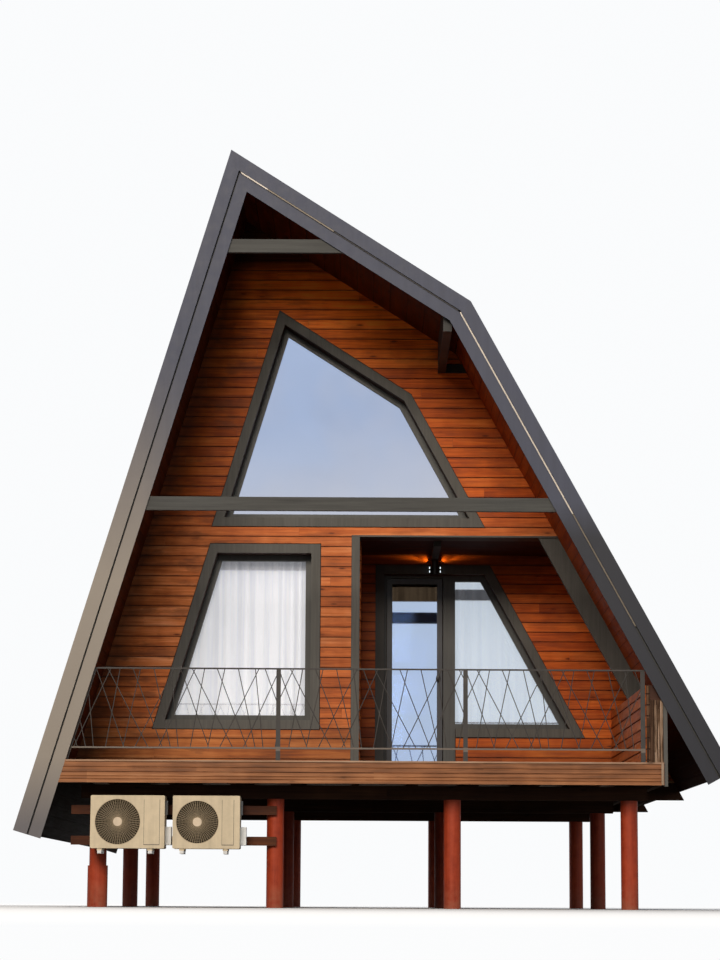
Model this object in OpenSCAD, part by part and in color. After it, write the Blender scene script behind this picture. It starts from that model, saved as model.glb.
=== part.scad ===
// A-frame cabin on round piers: a lopsided gambrel roof over a covered deck,
// with a timber front wall, a recessed entrance and two outdoor air units.
// X runs to the right along the front, Y runs back, Z is up, in millimetres.

/* [Roof] */
// Height of the ridge above the deck
ridge_h = 6364; // [5800:2:7100]
// Lean of the left slope from the vertical, in degrees
left_lean = 16.6; // [14:0.1:20]
// Lean of the short upper right slope from the vertical, in degrees
upper_lean = 57.3; // [50:0.1:64]
// Horizontal run of the upper right slope
upper_run = 2503; // [2200:1:2800]
// Lean of the long lower right slope from the vertical, in degrees
lower_lean = 28.7; // [26:0.1:31]
// How far the left slope reaches below the deck
left_drop = 710; // [500:10:900]
// How far the right slope reaches below the deck
right_drop = 80; // [60:5:200]
// Length of the roof from front to back
roof_len = 8400; // [7400:50:10000]
// Roof that reaches past the back wall
back_eave = 300; // [150:10:500]
// Drop of the sheet metal below the top edge of the fascia
sheet_drop = 30; // [28:1:40]
// Thickness of the folded sheet metal
sheet_t = 6; // [4:1:10]
// Height of a standing seam
seam_h = 24; // [12:1:26]
// Width of a standing seam
seam_w = 14; // [8:1:24]
// Distance between standing seams
seam_pitch = 525; // [400:25:700]
// Thickness of the boarded roof panel
panel_t = 70; // [50:1:90]

/* [Fascia] */
// Width of the outer fascia board
outer_fascia_w = 142; // [125:1:160]
// Shadow gap between the two fascia boards
fascia_gap = 15; // [8:1:24]
// Width of the inner fascia board
inner_fascia_w = 128; // [110:1:150]
// How far the outer fascia stands in front of the roof's edge
outer_fascia_t = 50; // [40:1:70]
// How far the inner fascia stands in front of the roof's edge
inner_fascia_t = 25; // [16:1:34]

/* [Roof timbers] */
// Depth of the rafters behind the fascia
rafter_d = 150; // [120:5:165]
// Thickness of a rafter
rafter_t = 60; // [45:1:90]
// Depth of the tie beam and the collar beam
tie_d = 140; // [110:5:180]
// Height of the tie beam's underside above the deck
tie_h = 2562; // [2400:2:2640]
// Drop from the ridge to the collar beam's underside
collar_drop = 1088; // [960:4:1300]
// Width of the knee purlin
purlin_w = 88; // [70:1:120]
// Depth of the knee purlin
purlin_d = 184; // [150:2:240]
// Height of the short timber between the purlin and the soffit
noggin_h = 95; // [60:5:120]

/* [Platform] */
// Height of the deck above the lowest ground
deck_h = 1470; // [1200:10:2000]
// Depth of the floor frame, boards included
floor_d = 225; // [190:5:260]
// Thickness of the deck and floor boards
board_t = 28; // [20:1:36]
// Distance between joists
joist_pitch = 620; // [450:10:700]
// Width of a joist
joist_w = 60; // [45:1:80]
// Thickness of the deck's front board
front_board_t = 28; // [20:1:36]
// Depth of the bearers on the piers
bearer_d = 140; // [100:5:180]
// Width of the bearers
bearer_w = 120; // [90:5:160]

/* [Piers] */
// Diameter of a pier
pier_dia = 176; // [150:2:200]
// Diameter of the pipe socket on the front left pier
socket_dia = 206; // [206:2:226]
// Height of the socket's upper rim above the lowest ground
socket_top = 420; // [300:10:500]
// Centre of the front row of piers behind the roof's front edge
front_row_y = 500; // [480:5:620]
// Centre of the middle row of piers
middle_row_y = 4400; // [3600:20:5200]
// Distance from the back wall to the centre of the back row
back_row_inset = 350; // [200:10:600]
// Centre of the leftmost piers inside the left soffit, level with their tops
left_pier_inset = 595; // [540:1:660]
// Centre of the rightmost piers inside the parapet's outer face
right_pier_inset = 310; // [240:2:360]
// Length of a bearer past the outer piers
bearer_reach = 180; // [100:5:220]

/* [Walls] */
// Depth of the deck in front of the front wall
overhang = 2350; // [2000:10:2700]
// Thickness of the outside walls
wall_t = 300; // [260:5:360]
// Depth of the entrance recess
recess_d = 1600; // [1200:10:1900]
// Height of the entrance recess
recess_h = 2604; // [2560:2:2660]
// Width of the entrance recess, from its corner post to the soffit at deck level
recess_w = 3628; // [3540:1:3720]
// Width of the corner post
corner_post_w = 90; // [70:1:120]
// Thickness of the loft floor
loft_t = 150; // [110:5:170]
// Thickness of the wall beside the recess
side_wall_t = 180; // [120:5:220]
// Depth of the exposed rafter in the recess
recess_rafter_d = 190; // [150:5:220]
// Thickness of the exposed rafter in the recess
recess_rafter_t = 80; // [60:1:120]
// Space between the parapet's outer face and the soffit at deck level
parapet_inset = 532; // [470:1:590]
// Thickness of the parapet
parapet_t = 167; // [140:1:190]
// Height of the parapet above the deck
parapet_h = 790; // [650:5:850]
// Height of the board on the parapet's front end
end_board_h = 660; // [500:5:700]
// Width of the board on the parapet's front end
end_board_w = 130; // [100:1:136]
// Width of the trim post beside the parapet
end_post_w = 40; // [30:1:70]
// Section of the beam under the recess's ceiling
ceiling_beam_w = 80; // [60:1:100]
// Depth of the beam under the recess's ceiling
ceiling_beam_d = 60; // [40:1:80]
// Width of a back window
back_window_w = 1100; // [800:10:1300]
// Height of a back window
back_window_h = 1200; // [900:10:1300]
// Sill of the lower back window above the deck
back_sill = 900; // [700:10:1100]
// Sill of the upper back window above the loft floor
loft_sill = 546; // [400:2:700]

/* [Windows] */
// Distance from the roof's outer face to the trim of the upper window and the sidelight
window_margin = 770; // [700:5:860]
// Distance from the roof's outer face to the trim of the lower left window
lower_margin = 812; // [740:2:880]
// Width of the trim boards round the windows
trim_w = 100; // [80:1:125]
// Thickness of the trim boards
trim_t = 25; // [18:1:34]
// Depth at which the window frames sit in the wall
setback = 190; // [140:5:200]
// Width of the window frames
frame_w = 65; // [50:1:85]
// Depth of the window frames
frame_d = 70; // [56:1:80]
// Thickness of the glazing
glass_t = 24; // [16:1:32]
// Bottom of the upper window's trim above the deck
upper_sill = 2717; // [2660:1:2800]
// Bottom of the lower window's trim above the deck
lower_sill = 468; // [380:2:600]
// Top of the lower window's trim above the deck
lower_head = 2520; // [2400:2:2540]
// Wall between the lower window's trim and the corner post
lower_gap = 347; // [280:1:440]
// Thickness of the curtains
curtain_t = 60; // [30:1:90]
// How far a curtain reaches past the glass on each side
curtain_lap = 110; // [80:5:160]

/* [Entrance] */
// Wall between the corner post and the entrance's trim
entrance_gap = 181; // [140:1:240]
// Top of the entrance's trim above the deck
entrance_head = 2486; // [2400:2:2500]
// Width of the door leaf
leaf_w = 648; // [620:2:760]
// Thickness of the door leaf
leaf_t = 56; // [46:1:62]
// Width of the door leaf's stiles and top rail
stile_w = 62; // [50:1:80]
// Height of the door leaf's bottom rail
kick_h = 120; // [80:2:180]
// Width of the mullion between door and sidelight
mullion_w = 140; // [110:1:160]
// Bottom of the sidelight's trim above the deck
side_sill = 488; // [400:2:600]
// Clearance at the hinge side, the head and the foot of the leaf
leaf_gap = 6; // [5:1:8]
// Clearance at the lock side of the leaf
lock_gap = 10; // [9:1:14]
// Height of the door handle above the deck
handle_h = 1130; // [980:5:1200]
// Width of the door frame's jamb and head
jamb_w = 30; // [20:1:40]
// Diameter of the door hinges' knuckles
knuckle_dia = 14; // [12:1:18]
// Length of half a hinge
hinge_half = 45; // [35:1:60]
// Diameter of the wall lamp
lamp_dia = 90; // [70:1:110]
// Height of the wall lamp
lamp_h = 160; // [120:2:162]
// Foot of the wall lamp below the top of the entrance's trim
lamp_drop = 112; // [110:2:140]
// Centre of the lamp and ceiling beam, left of the door's lock side
lamp_inset = 104; // [60:1:160]

/* [Railing] */
// Height of the top rail above the deck
rail_h = 938; // [880:2:1050]
// Height of the lower rail above the deck
low_rail_h = 132; // [90:2:180]
// Height and depth of a rail
rail_s = 16; // [12:1:18]
// Diameter of the infill rods
rod_dia = 9; // [7:1:14]
// Width of a railing post
rail_post_w = 46; // [36:1:60]
// Depth of a railing post
rail_post_t = 12; // [10:1:24]
// Length of one repeat of the rod pattern
rod_repeat = 860; // [700:10:1000]
// Space between the railing's last post and the parapet
rail_gap = 14; // [10:1:40]
// Length of the right bay of the railing
right_bay = 1801; // [1600:1:2000]
// Length of the middle bay of the railing
middle_bay = 1902; // [1700:2:2100]
// Centre of the railing behind the deck's front edge
rail_y = 40; // [30:1:60]

/* [Air units] */
// Width of the left air unit
unit_left_w = 750; // [680:2:790]
// Width of the right air unit
unit_right_w = 680; // [620:2:740]
// Height of the air units
unit_h = 532; // [500:2:570]
// Depth of the air units
unit_d = 300; // [260:5:320]
// Fan opening of the left unit
fan_dia_left = 460; // [400:2:470]
// Fan opening of the right unit
fan_dia_right = 432; // [380:2:440]
// Top of the air units below the deck
unit_top = 350; // [310:2:380]
// Left side of the left unit, left of the first pier's centre
unit_lap = 42; // [20:2:80]
// Gap between the units
unit_gap = 82; // [76:2:120]
// Depth of the fan opening
fan_depth = 130; // [90:5:150]
// Thickness of the valve cover on a unit's right side
cover_t = 60; // [40:1:66]
// Depth of the valve cover
cover_w = 130; // [90:5:160]
// Height of the valve cover
cover_h = 180; // [120:5:220]
// Space between the units and their timber rails
unit_back_gap = 12; // [8:1:20]
// Height of a timber rail behind the units
unit_rail_h = 90; // [70:5:120]
// Thickness of a timber rail behind the units
unit_rail_t = 40; // [30:1:50]
// Width of a bracket
bracket_w = 40; // [30:1:50]
// Height of a bracket's arm
bracket_h = 30; // [20:1:40]

/* [Hidden] */
$fn = 48;

// Layers of the roof, measured inwards from the top edge of the fascia
sheet_in = sheet_drop + sheet_t;
soffit_in = sheet_in + panel_t;
seat = 0.3;
seated_in = soffit_in + seat;
rafter_in = soffit_in + rafter_d;
gap_in = outer_fascia_w + fascia_gap;
fascia_in = gap_in + inner_fascia_w;

// Corners of the roof's outline at the ridge, the knee and the two lower ends
ridge_z = deck_h + ridge_h;
left_len = (ridge_h + left_drop) / cos(left_lean);
knee_drop = upper_run / tan(upper_lean);
knee_z = ridge_z - knee_drop;
lower_len = (knee_z - deck_h + right_drop) / cos(lower_lean);
n_left = [cos(left_lean), -sin(left_lean)];
n_upper = [-cos(upper_lean), -sin(upper_lean)];
n_lower = [-cos(lower_lean), -sin(lower_lean)];
left_end = [0, ridge_z] - left_len * [sin(left_lean), cos(left_lean)];
lower_end = [upper_run, knee_z] + lower_len * [sin(lower_lean), -cos(lower_lean)];

// The cabin stands centred on its own outline
mid_x = round((left_end[0] + lower_end[0]) * 50) / 100;
mid_y = roof_len / 2;

// Places along the depth
wall_y = overhang;
entrance_y = overhang + recess_d;
back_y = roof_len - back_eave - wall_t;
back_row_y = back_y + wall_t - back_row_inset;

// Corner i of the roof's outline, moved inwards: left end, ridge, knee, right end
function corner(i, inwards) =
    i == 0 ? left_end + inwards * n_left :
    i == 1 ? [0, ridge_z] + inwards * (n_left + n_upper) / (1 + n_left * n_upper) :
    i == 2 ? [upper_run, knee_z] + inwards * (n_upper + n_lower) / (1 + n_upper * n_lower) :
    lower_end + inwards * n_lower;

// Where the left and the lower right slope stand at a given height
function left_at(inwards, z) = corner(1, inwards)[0] - (corner(1, inwards)[1] - z) * tan(left_lean);
function right_at(inwards, z) = corner(2, inwards)[0] + (corner(2, inwards)[1] - z) * tan(lower_lean);

// Places along the front, kept at their distance from the lower right soffit
soffit_x = round(right_at(soffit_in, deck_h));
parapet_x = soffit_x - parapet_inset;
recess_x = soffit_x - recess_w;
entrance_left = recess_x + entrance_gap;
lower_right = recess_x - corner_post_w - lower_gap;
split_z = deck_h + recess_h;

// Outline between two levels that follows the roof at a distance from its face
function gable(inwards, bottom) = [
    [left_at(inwards, bottom), bottom], corner(1, inwards), corner(2, inwards),
    [right_at(inwards, bottom), bottom]
];
function band(inwards, bottom, top) = [
    [left_at(inwards, bottom), bottom], [left_at(inwards, top), top],
    [right_at(inwards, top), top], [right_at(inwards, bottom), bottom]
];

// Window outlines, moved inwards from the outer edge of their trim
function upper_outline(w) = gable(window_margin + w, deck_h + upper_sill + w);
function lower_outline(w) = [
    [left_at(lower_margin + w, deck_h + lower_sill + w), deck_h + lower_sill + w],
    [left_at(lower_margin + w, deck_h + lower_head - w), deck_h + lower_head - w],
    [lower_right - w, deck_h + lower_head - w], [lower_right - w, deck_h + lower_sill + w]
];

// The entrance is a door with a slanted sidelight beside it
door_x = entrance_left + trim_w + jamb_w;
lock_x = door_x + leaf_gap + leaf_w + lock_gap;
mullion_x = lock_x + mullion_w;
head_z = deck_h + entrance_head - trim_w;
function entrance_outline(w) = [
    [entrance_left + w, deck_h], [entrance_left + w, deck_h + entrance_head - w],
    [right_at(window_margin + w, deck_h + entrance_head - w), deck_h + entrance_head - w],
    [right_at(window_margin + w, deck_h + side_sill + w), deck_h + side_sill + w],
    [mullion_x, deck_h + side_sill + w], [mullion_x, deck_h]
];
function sidelight_outline(w) = [
    [mullion_x, deck_h + side_sill + trim_w + w], [mullion_x, head_z - w],
    [right_at(window_margin + trim_w + w, head_z - w), head_z - w],
    [right_at(window_margin + trim_w + w, deck_h + side_sill + trim_w + w),
        deck_h + side_sill + trim_w + w]
];
leaf_head = head_z - jamb_w - leaf_gap;
leaf_x0 = door_x + leaf_gap;
leaf_y0 = entrance_y + setback + 6;
hinge_x = door_x + leaf_gap / 2;
hinge_y = leaf_y0 + leaf_t + knuckle_dia / 2 + 9;
hinge_heights = [4 * hinge_half, (leaf_head - deck_h) / 2, leaf_head - deck_h - 4 * hinge_half];

// A profile in the XZ plane, extruded from one depth to another
module across(y0, y1) {
    translate([-mid_x, y1 - mid_y, 0]) rotate([90, 0, 0]) linear_extrude(y1 - y0) children();
}
module block(x0, x1, y0, y1, z0, z1) {
    translate([x0 - mid_x, y0 - mid_y, z0]) cube([x1 - x0, y1 - y0, z1 - z0]);
}
module upright(x, y, d, z0, z1) {
    translate([x - mid_x, y - mid_y, z0]) cylinder(d = d, h = z1 - z0);
}
module ring(outer, inner) {
    difference() {
        polygon(outer);
        polygon(inner);
    }
}
module slope_profile(i, from, to) {
    polygon([corner(i, from), corner(i + 1, from), corner(i + 1, to), corner(i, to)]);
}

// Piers, with a pipe socket left on the front left one
pier_top = deck_h - floor_d - bearer_d;
first_pier_x = left_at(soffit_in, pier_top) + left_pier_inset;
pier_pitch = (parapet_x - right_pier_inset - first_pier_x) / 3;
function pier_x(k) = first_pier_x + k * pier_pitch;
module piers() {
    color("chocolate") {
        upright(pier_x(0), front_row_y, socket_dia, 0, socket_top);
        for (y = [front_row_y, middle_row_y, back_row_y]) for (k = [0:3])
            upright(pier_x(k), y, pier_dia, 0, pier_top);
    }
}
module bearers() {
    color("sienna") for (y = [front_row_y, middle_row_y, back_row_y])
        block(pier_x(0) - bearer_reach, pier_x(3) + bearer_reach, y - bearer_w / 2,
            y + bearer_w / 2, pier_top, deck_h - floor_d);
}

// Floor: joists in a rim, then deck boards outside and floor boards inside
frame_top = deck_h - board_t;
frame_bottom = deck_h - floor_d;
module floor_plan(outline, z0, z1) {
    intersection() {
        translate([-mid_x, -mid_y, z0]) linear_extrude(z1 - z0) polygon(outline);
        union() {
            across(0, rafter_t) polygon(band(rafter_in + seat, frame_bottom - 200, deck_h + 200));
            across(rafter_t, roof_len) polygon(band(seated_in, frame_bottom - 200, deck_h + 200));
        }
    }
}
function area(x0, x1, y0, y1) = [[x0, y0], [x1, y0], [x1, y1], [x0, y1]];
back_face = back_y + wall_t;
module floor_rims() {
    color("peru") {
        floor_plan(area(left_end[0], parapet_x, 0, joist_w), frame_bottom, frame_top);
        floor_plan(area(parapet_x, lower_end[0], entrance_y, entrance_y + joist_w),
            frame_bottom, frame_top);
        floor_plan(area(left_end[0], lower_end[0], back_face - joist_w, back_face),
            frame_bottom, frame_top);
    }
}
joist_count = floor((parapet_x - joist_w - left_at(seated_in, frame_top)) / joist_pitch);
last_joist_x = parapet_x + (soffit_x - parapet_x) / 2;
module floor_joists() {
    y0 = joist_w + seat;
    y1 = back_face - joist_w - seat;
    color("peru") {
        for (k = [0:joist_count]) {
            x = parapet_x - joist_w - seat - k * joist_pitch;
            floor_plan(area(x, x + joist_w, y0, y1), frame_bottom, frame_top);
        }
        floor_plan(area(last_joist_x, last_joist_x + joist_w, entrance_y + y0, y1),
            frame_bottom, frame_top);
    }
}
module deck_boards() {
    color("burlywood") floor_plan([
        [left_end[0], 0], [parapet_x, 0], [parapet_x, entrance_y], [recess_x, entrance_y],
        [recess_x, wall_y], [left_end[0], wall_y]
    ], frame_top, deck_h);
}
module deck_front_board() {
    groove = 7;
    t = front_board_t;
    z0 = frame_bottom;
    color("tan") intersection() {
        translate([left_end[0] - mid_x, -mid_y, 0]) rotate([90, 0, 90])
            linear_extrude(parapet_x - left_end[0]) polygon([
                [0, z0], [-t, z0], [-t, z0 + 28], [groove - t, z0 + 34], [-t, z0 + 40],
                [-t, z0 + 57], [groove - t, z0 + 63], [-t, z0 + 69], [-t, z0 + 100],
                [2 * groove - t, z0 + 104], [2 * groove - t, z0 + 110], [-t, z0 + 114],
                [-t, z0 + 149], [groove - t, z0 + 155], [-t, z0 + 161], [-t, deck_h - 14],
                [-t - 8, deck_h - 14], [-t - 8, deck_h + 4], [0, deck_h + 4]
            ]);
        across(-100, 10) polygon(band(fascia_in + seat, frame_bottom - 200, deck_h + 200));
    }
}
module cabin_floor() {
    x = recess_x - seat;
    color("burlywood") floor_plan([
        [left_end[0], wall_y], [x, wall_y], [x, entrance_y], [lower_end[0], entrance_y],
        [lower_end[0], back_face], [left_end[0], back_face]
    ], frame_top, deck_h);
}
module loft_floor() {
    color("burlywood") across(wall_y + wall_t, back_y)
        polygon(band(seated_in, split_z, split_z + loft_t));
}

// Roof panels and the standing seam sheets on them
module roof_panel(i) {
    color("saddlebrown") across(0, roof_len) slope_profile(i, sheet_in, soffit_in);
}
module roof_sheet(i) {
    run = corner(i + 1, sheet_drop) - corner(i, sheet_drop);
    len = norm(run);
    lean = atan2(run[1], run[0]);
    color("dimgray") {
        across(0, roof_len) slope_profile(i, sheet_drop, sheet_in);
        for (y = [seam_pitch / 2 : seam_pitch : roof_len - seam_w])
            translate([corner(i, sheet_drop)[0] - mid_x, y - mid_y, corner(i, sheet_drop)[1]])
                rotate([0, -lean, 0]) translate([60, 0, -1]) cube([len - 120, seam_w, seam_h + 1]);
    }
}

// Fascia boards in two steps, mitred at the ridge and the knee
module fascia_ring(from, to, y0, y1) {
    across(y0, y1) for (i = [0:2]) slope_profile(i, from, to);
}
module fascia_front() {
    color("slategray") {
        fascia_ring(0, outer_fascia_w, -outer_fascia_t, 0);
        fascia_ring(gap_in, fascia_in, -inner_fascia_t, 0);
    }
}
module fascia_back() {
    color("slategray") {
        fascia_ring(0, outer_fascia_w, roof_len, roof_len + outer_fascia_t);
        fascia_ring(outer_fascia_w, fascia_in, roof_len, roof_len + inner_fascia_t);
    }
}

// Timbers of the open front
module front_rafters() {
    color("slategray") across(0, rafter_t) for (i = [0:2]) slope_profile(i, seated_in, rafter_in);
}
module front_tie(z) {
    color("slategray") across(0, rafter_t) intersection() {
        polygon(gable(rafter_in + seat, deck_h));
        translate([left_end[0], z]) square([lower_end[0] - left_end[0], tie_d]);
    }
}
module cross_beams() {
    front_tie(deck_h + tie_h);
    front_tie(ridge_z - collar_drop);
}
purlin_x = corner(2, rafter_in)[0] - purlin_w;
purlin_top = corner(2, soffit_in)[1] - 40;
module knee_purlin() {
    z = purlin_top - purlin_d;
    color("slategray") intersection() {
        union() {
            across(rafter_t, wall_y) translate([purlin_x, z]) square([purlin_w, 3 * purlin_d]);
            across(wall_y - rafter_t, wall_y) translate([purlin_x, z])
                square([lower_end[0] - purlin_x, noggin_h]);
        }
        across(rafter_t, wall_y) polygon(gable(seated_in, deck_h));
    }
}

// Front wall in two storeys, open at the lower right for the recess
module front_wall_lower() {
    color("peru") across(wall_y, wall_y + wall_t) difference() {
        polygon([
            [left_at(seated_in, deck_h), deck_h], [left_at(seated_in, split_z), split_z],
            [recess_x - corner_post_w - seat, split_z], [recess_x - corner_post_w - seat, deck_h]
        ]);
        polygon(lower_outline(trim_w));
    }
}
module front_wall_upper() {
    color("peru") across(wall_y, wall_y + wall_t) difference() {
        polygon(gable(seated_in, split_z));
        polygon(upper_outline(trim_w));
    }
}
module corner_post() {
    color("slategray") block(recess_x - corner_post_w, recess_x, wall_y - 20, wall_y + wall_t,
        deck_h, split_z);
}
module recess_side_wall() {
    color("peru") block(recess_x - side_wall_t, recess_x, wall_y + wall_t, entrance_y,
        deck_h, split_z);
}
module entrance_wall_left() {
    color("peru") block(recess_x - side_wall_t, entrance_left + trim_w, entrance_y,
        entrance_y + wall_t, deck_h, split_z);
}
module entrance_wall_right() {
    color("peru") across(entrance_y, entrance_y + wall_t) difference() {
        polygon([
            [entrance_left + trim_w, deck_h], [entrance_left + trim_w, split_z],
            [right_at(seated_in, split_z), split_z], [right_at(seated_in, deck_h), deck_h]
        ]);
        polygon(entrance_outline(trim_w));
    }
}
module recess_rafter() {
    color("slategray") across(wall_y, wall_y + recess_rafter_t) polygon([
        [right_at(seated_in, split_z), split_z],
        [right_at(seated_in, deck_h + parapet_h), deck_h + parapet_h],
        [right_at(seated_in + recess_rafter_d, deck_h + parapet_h), deck_h + parapet_h],
        [right_at(seated_in + recess_rafter_d, split_z), split_z]
    ]);
}
lamp_x = lock_x - lamp_inset;
module recess_ceiling_beam() {
    color("dimgray") block(lamp_x - ceiling_beam_w / 2, lamp_x + ceiling_beam_w / 2,
        wall_y + wall_t, entrance_y, split_z - ceiling_beam_d, split_z);
}

// Parapet that guards the right side of the deck and the recess
module parapet() {
    color("peru") {
        block(parapet_x - parapet_t, parapet_x, rafter_t, entrance_y, deck_h, deck_h + parapet_h);
        intersection() {
            block(parapet_x - end_board_w, parapet_x, rafter_t / 2, rafter_t, deck_h,
                deck_h + end_board_h);
            across(0, rafter_t) polygon(gable(rafter_in + seat, deck_h));
        }
    }
}
module parapet_end_post() {
    color("slategray") intersection() {
        block(parapet_x, parapet_x + end_post_w, 0, rafter_t, frame_bottom - 10,
            deck_h + parapet_h);
        across(-10, rafter_t + 10) polygon(gable(rafter_in + seat, frame_bottom - 20));
    }
}

// Back wall with one plain window on each storey
loft_sill_z = split_z + loft_t + loft_sill;
loft_head_z = loft_sill_z + back_window_h;
back_mid_x = (left_at(soffit_in, loft_head_z) + right_at(soffit_in, loft_head_z)) / 2;
module back_openings(w) {
    for (z = [deck_h + back_sill, loft_sill_z])
        translate([back_mid_x - back_window_w / 2 + w, z + w])
            square([back_window_w - 2 * w, back_window_h - 2 * w]);
}
module back_wall() {
    color("peru") across(back_y, back_y + wall_t) difference() {
        polygon(gable(seated_in, deck_h));
        back_openings(0);
    }
}

// Windows: trim on the wall's face, a frame set back in the wall and its glass
frame_y = wall_y + setback;
back_frame_y = back_face - setback - frame_d;
glass_in = (frame_d - glass_t) / 2;
module window_trims() {
    color("slategray") across(wall_y - trim_t, wall_y) {
        ring(lower_outline(0), lower_outline(trim_w));
        ring(upper_outline(0), upper_outline(trim_w));
    }
}
module window_frames() {
    color("slategray") {
        across(frame_y, frame_y + frame_d) {
            ring(lower_outline(trim_w), lower_outline(trim_w + frame_w));
            ring(upper_outline(trim_w), upper_outline(trim_w + frame_w));
        }
        across(back_frame_y, back_frame_y + frame_d) difference() {
            back_openings(0);
            back_openings(frame_w);
        }
    }
}
door_frame_y = entrance_y + setback;
module window_glass() {
    color("lightsteelblue") {
        across(frame_y + glass_in, frame_y + glass_in + glass_t) {
            polygon(lower_outline(trim_w + frame_w));
            polygon(upper_outline(trim_w + frame_w));
        }
        across(back_frame_y + glass_in, back_frame_y + glass_in + glass_t) back_openings(frame_w);
        across(door_frame_y + glass_in, door_frame_y + glass_in + glass_t)
            polygon(sidelight_outline(frame_w));
    }
}
module curtains() {
    lap = trim_w + frame_w - curtain_lap;
    side = window_margin + lap;
    sill = deck_h + side_sill + lap;
    color("white") {
        across(wall_y + wall_t + seat, wall_y + wall_t + curtain_t) polygon(lower_outline(lap));
        across(entrance_y + wall_t + seat, entrance_y + wall_t + curtain_t) polygon([
            [mullion_x, sill], [mullion_x, head_z - frame_w + curtain_lap],
            [right_at(side, head_z - frame_w + curtain_lap), head_z - frame_w + curtain_lap],
            [right_at(side, sill), sill]
        ]);
    }
}

// Entrance: trim, fixed frame with mullion, sidelight and the door leaf
module entrance_trim() {
    color("slategray") across(entrance_y - trim_t, entrance_y)
        ring(entrance_outline(0), entrance_outline(trim_w));
}
module entrance_frame() {
    color("slategray") across(door_frame_y, door_frame_y + frame_d) difference() {
        polygon(entrance_outline(trim_w));
        translate([door_x, deck_h]) square([lock_x - door_x, head_z - jamb_w - deck_h]);
        polygon(sidelight_outline(frame_w));
    }
    for (z = hinge_heights) color("slategray") {
        upright(hinge_x, hinge_y, knuckle_dia, deck_h + z - hinge_half, deck_h + z);
        block(door_x - jamb_w + 5, hinge_x, door_frame_y + frame_d - 0.5, hinge_y,
            deck_h + z - hinge_half, deck_h + z);
    }
}
module door_leaf() {
    color("slategray") {
        difference() {
            block(leaf_x0, leaf_x0 + leaf_w, leaf_y0, leaf_y0 + leaf_t, deck_h + leaf_gap, leaf_head);
            block(leaf_x0 + stile_w, leaf_x0 + leaf_w - stile_w, leaf_y0 - 1, leaf_y0 + leaf_t + 1,
                deck_h + leaf_gap + kick_h, leaf_head - stile_w);
        }
        for (z = hinge_heights) {
            upright(hinge_x, hinge_y, knuckle_dia, deck_h + z + seat, deck_h + z + hinge_half);
            block(hinge_x, leaf_x0 + stile_w / 2, leaf_y0 + leaf_t - 0.5, hinge_y,
                deck_h + z + seat, deck_h + z + hinge_half);
        }
    }
}
module door_glass() {
    y = leaf_y0 + (leaf_t - glass_t) / 2;
    color("lightsteelblue") block(leaf_x0 + stile_w, leaf_x0 + leaf_w - stile_w, y, y + glass_t,
        deck_h + leaf_gap + kick_h, leaf_head - stile_w);
}
module door_handle() {
    x = leaf_x0 + leaf_w - stile_w / 2;
    z = deck_h + handle_h;
    color("black") {
        block(x - 16, x + 16, leaf_y0 - 8, leaf_y0, z - 110, z + 50);
        translate([x - mid_x, leaf_y0 - 50 - mid_y, z]) rotate([-90, 0, 0]) cylinder(d = 18, h = 43);
        translate([x - 118 - mid_x, leaf_y0 - 50 - mid_y, z]) rotate([0, 90, 0])
            cylinder(d = 18, h = 124);
    }
}
module wall_lamp() {
    z = deck_h + entrance_head - lamp_drop;
    y = entrance_y - trim_t;
    color("black") {
        block(lamp_x - lamp_dia / 3, lamp_x + lamp_dia / 3, y - lamp_dia / 2, y, z + 20, z + 90);
        upright(lamp_x, y - lamp_dia * 2 / 3, lamp_dia, z, z + lamp_h);
    }
}

// Railing with crossing rods, cut off along the slope on the left
rail_x1 = parapet_x - parapet_t - rail_gap - rail_post_w;
middle_post_x = rail_x1 - right_bay;
left_post_x = middle_post_x - middle_bay;
rail_low = deck_h + low_rail_h;
rail_top = deck_h + rail_h;
rail_slope = fascia_in + rail_s / 2;
rod_starts = [0, 118, 152, 245, 373, 452, 588, 762, 800];
rod_leans = [0.37, 0.527, -0.4545, -0.17, 0.39, -0.207, 0.224, 0.106, -0.49];
module rod_pattern(start, last) {
    height = rail_top - rail_low;
    for (r = [-1:last]) for (k = [0:len(rod_starts) - 1])
        translate([start + r * rod_repeat + rod_starts[k] - mid_x, rail_y - mid_y, rail_top])
            rotate([0, 180 - atan(rod_leans[k]), 0])
                cylinder(d = rod_dia, h = height * norm([rod_leans[k], 1]), $fn = 6);
}
module bay(x0, x1, low_x0) {
    intersection() {
        rod_pattern(x0, ceil((x1 - x0) / rod_repeat));
        across(0, 2 * rail_y) polygon([
            [low_x0, rail_low], [x0, rail_top], [x1, rail_top], [x1, rail_low]
        ]);
    }
}
module railing() {
    h = rail_s / 2;
    w = rail_post_w / 2;
    posts = [left_post_x + w, middle_post_x + w, rail_x1 + w];
    color("gray") {
        bay(left_at(rail_slope, rail_top), posts[0], left_at(rail_slope, rail_low));
        bay(posts[0], posts[1], posts[0]);
        bay(posts[1], posts[2], posts[1]);
        for (z = [rail_low, rail_top])
            block(left_at(rail_slope, z), posts[2], rail_y - h, rail_y + h, z - h, z + h);
        across(rail_y - h, rail_y + h) polygon([
            [left_at(rail_slope - h, deck_h), deck_h],
            [left_at(rail_slope - h, rail_top + h), rail_top + h],
            [left_at(rail_slope + h, rail_top + h), rail_top + h],
            [left_at(rail_slope + h, deck_h), deck_h]
        ]);
        for (x = posts) {
            block(x - w, x + w, rail_y - rail_post_t / 2, rail_y + rail_post_t / 2, deck_h,
                rail_top + h);
            block(x - w - h, x + w + h, rail_y - rail_s, rail_y + rail_s, deck_h, deck_h + h);
        }
    }
}

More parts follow.
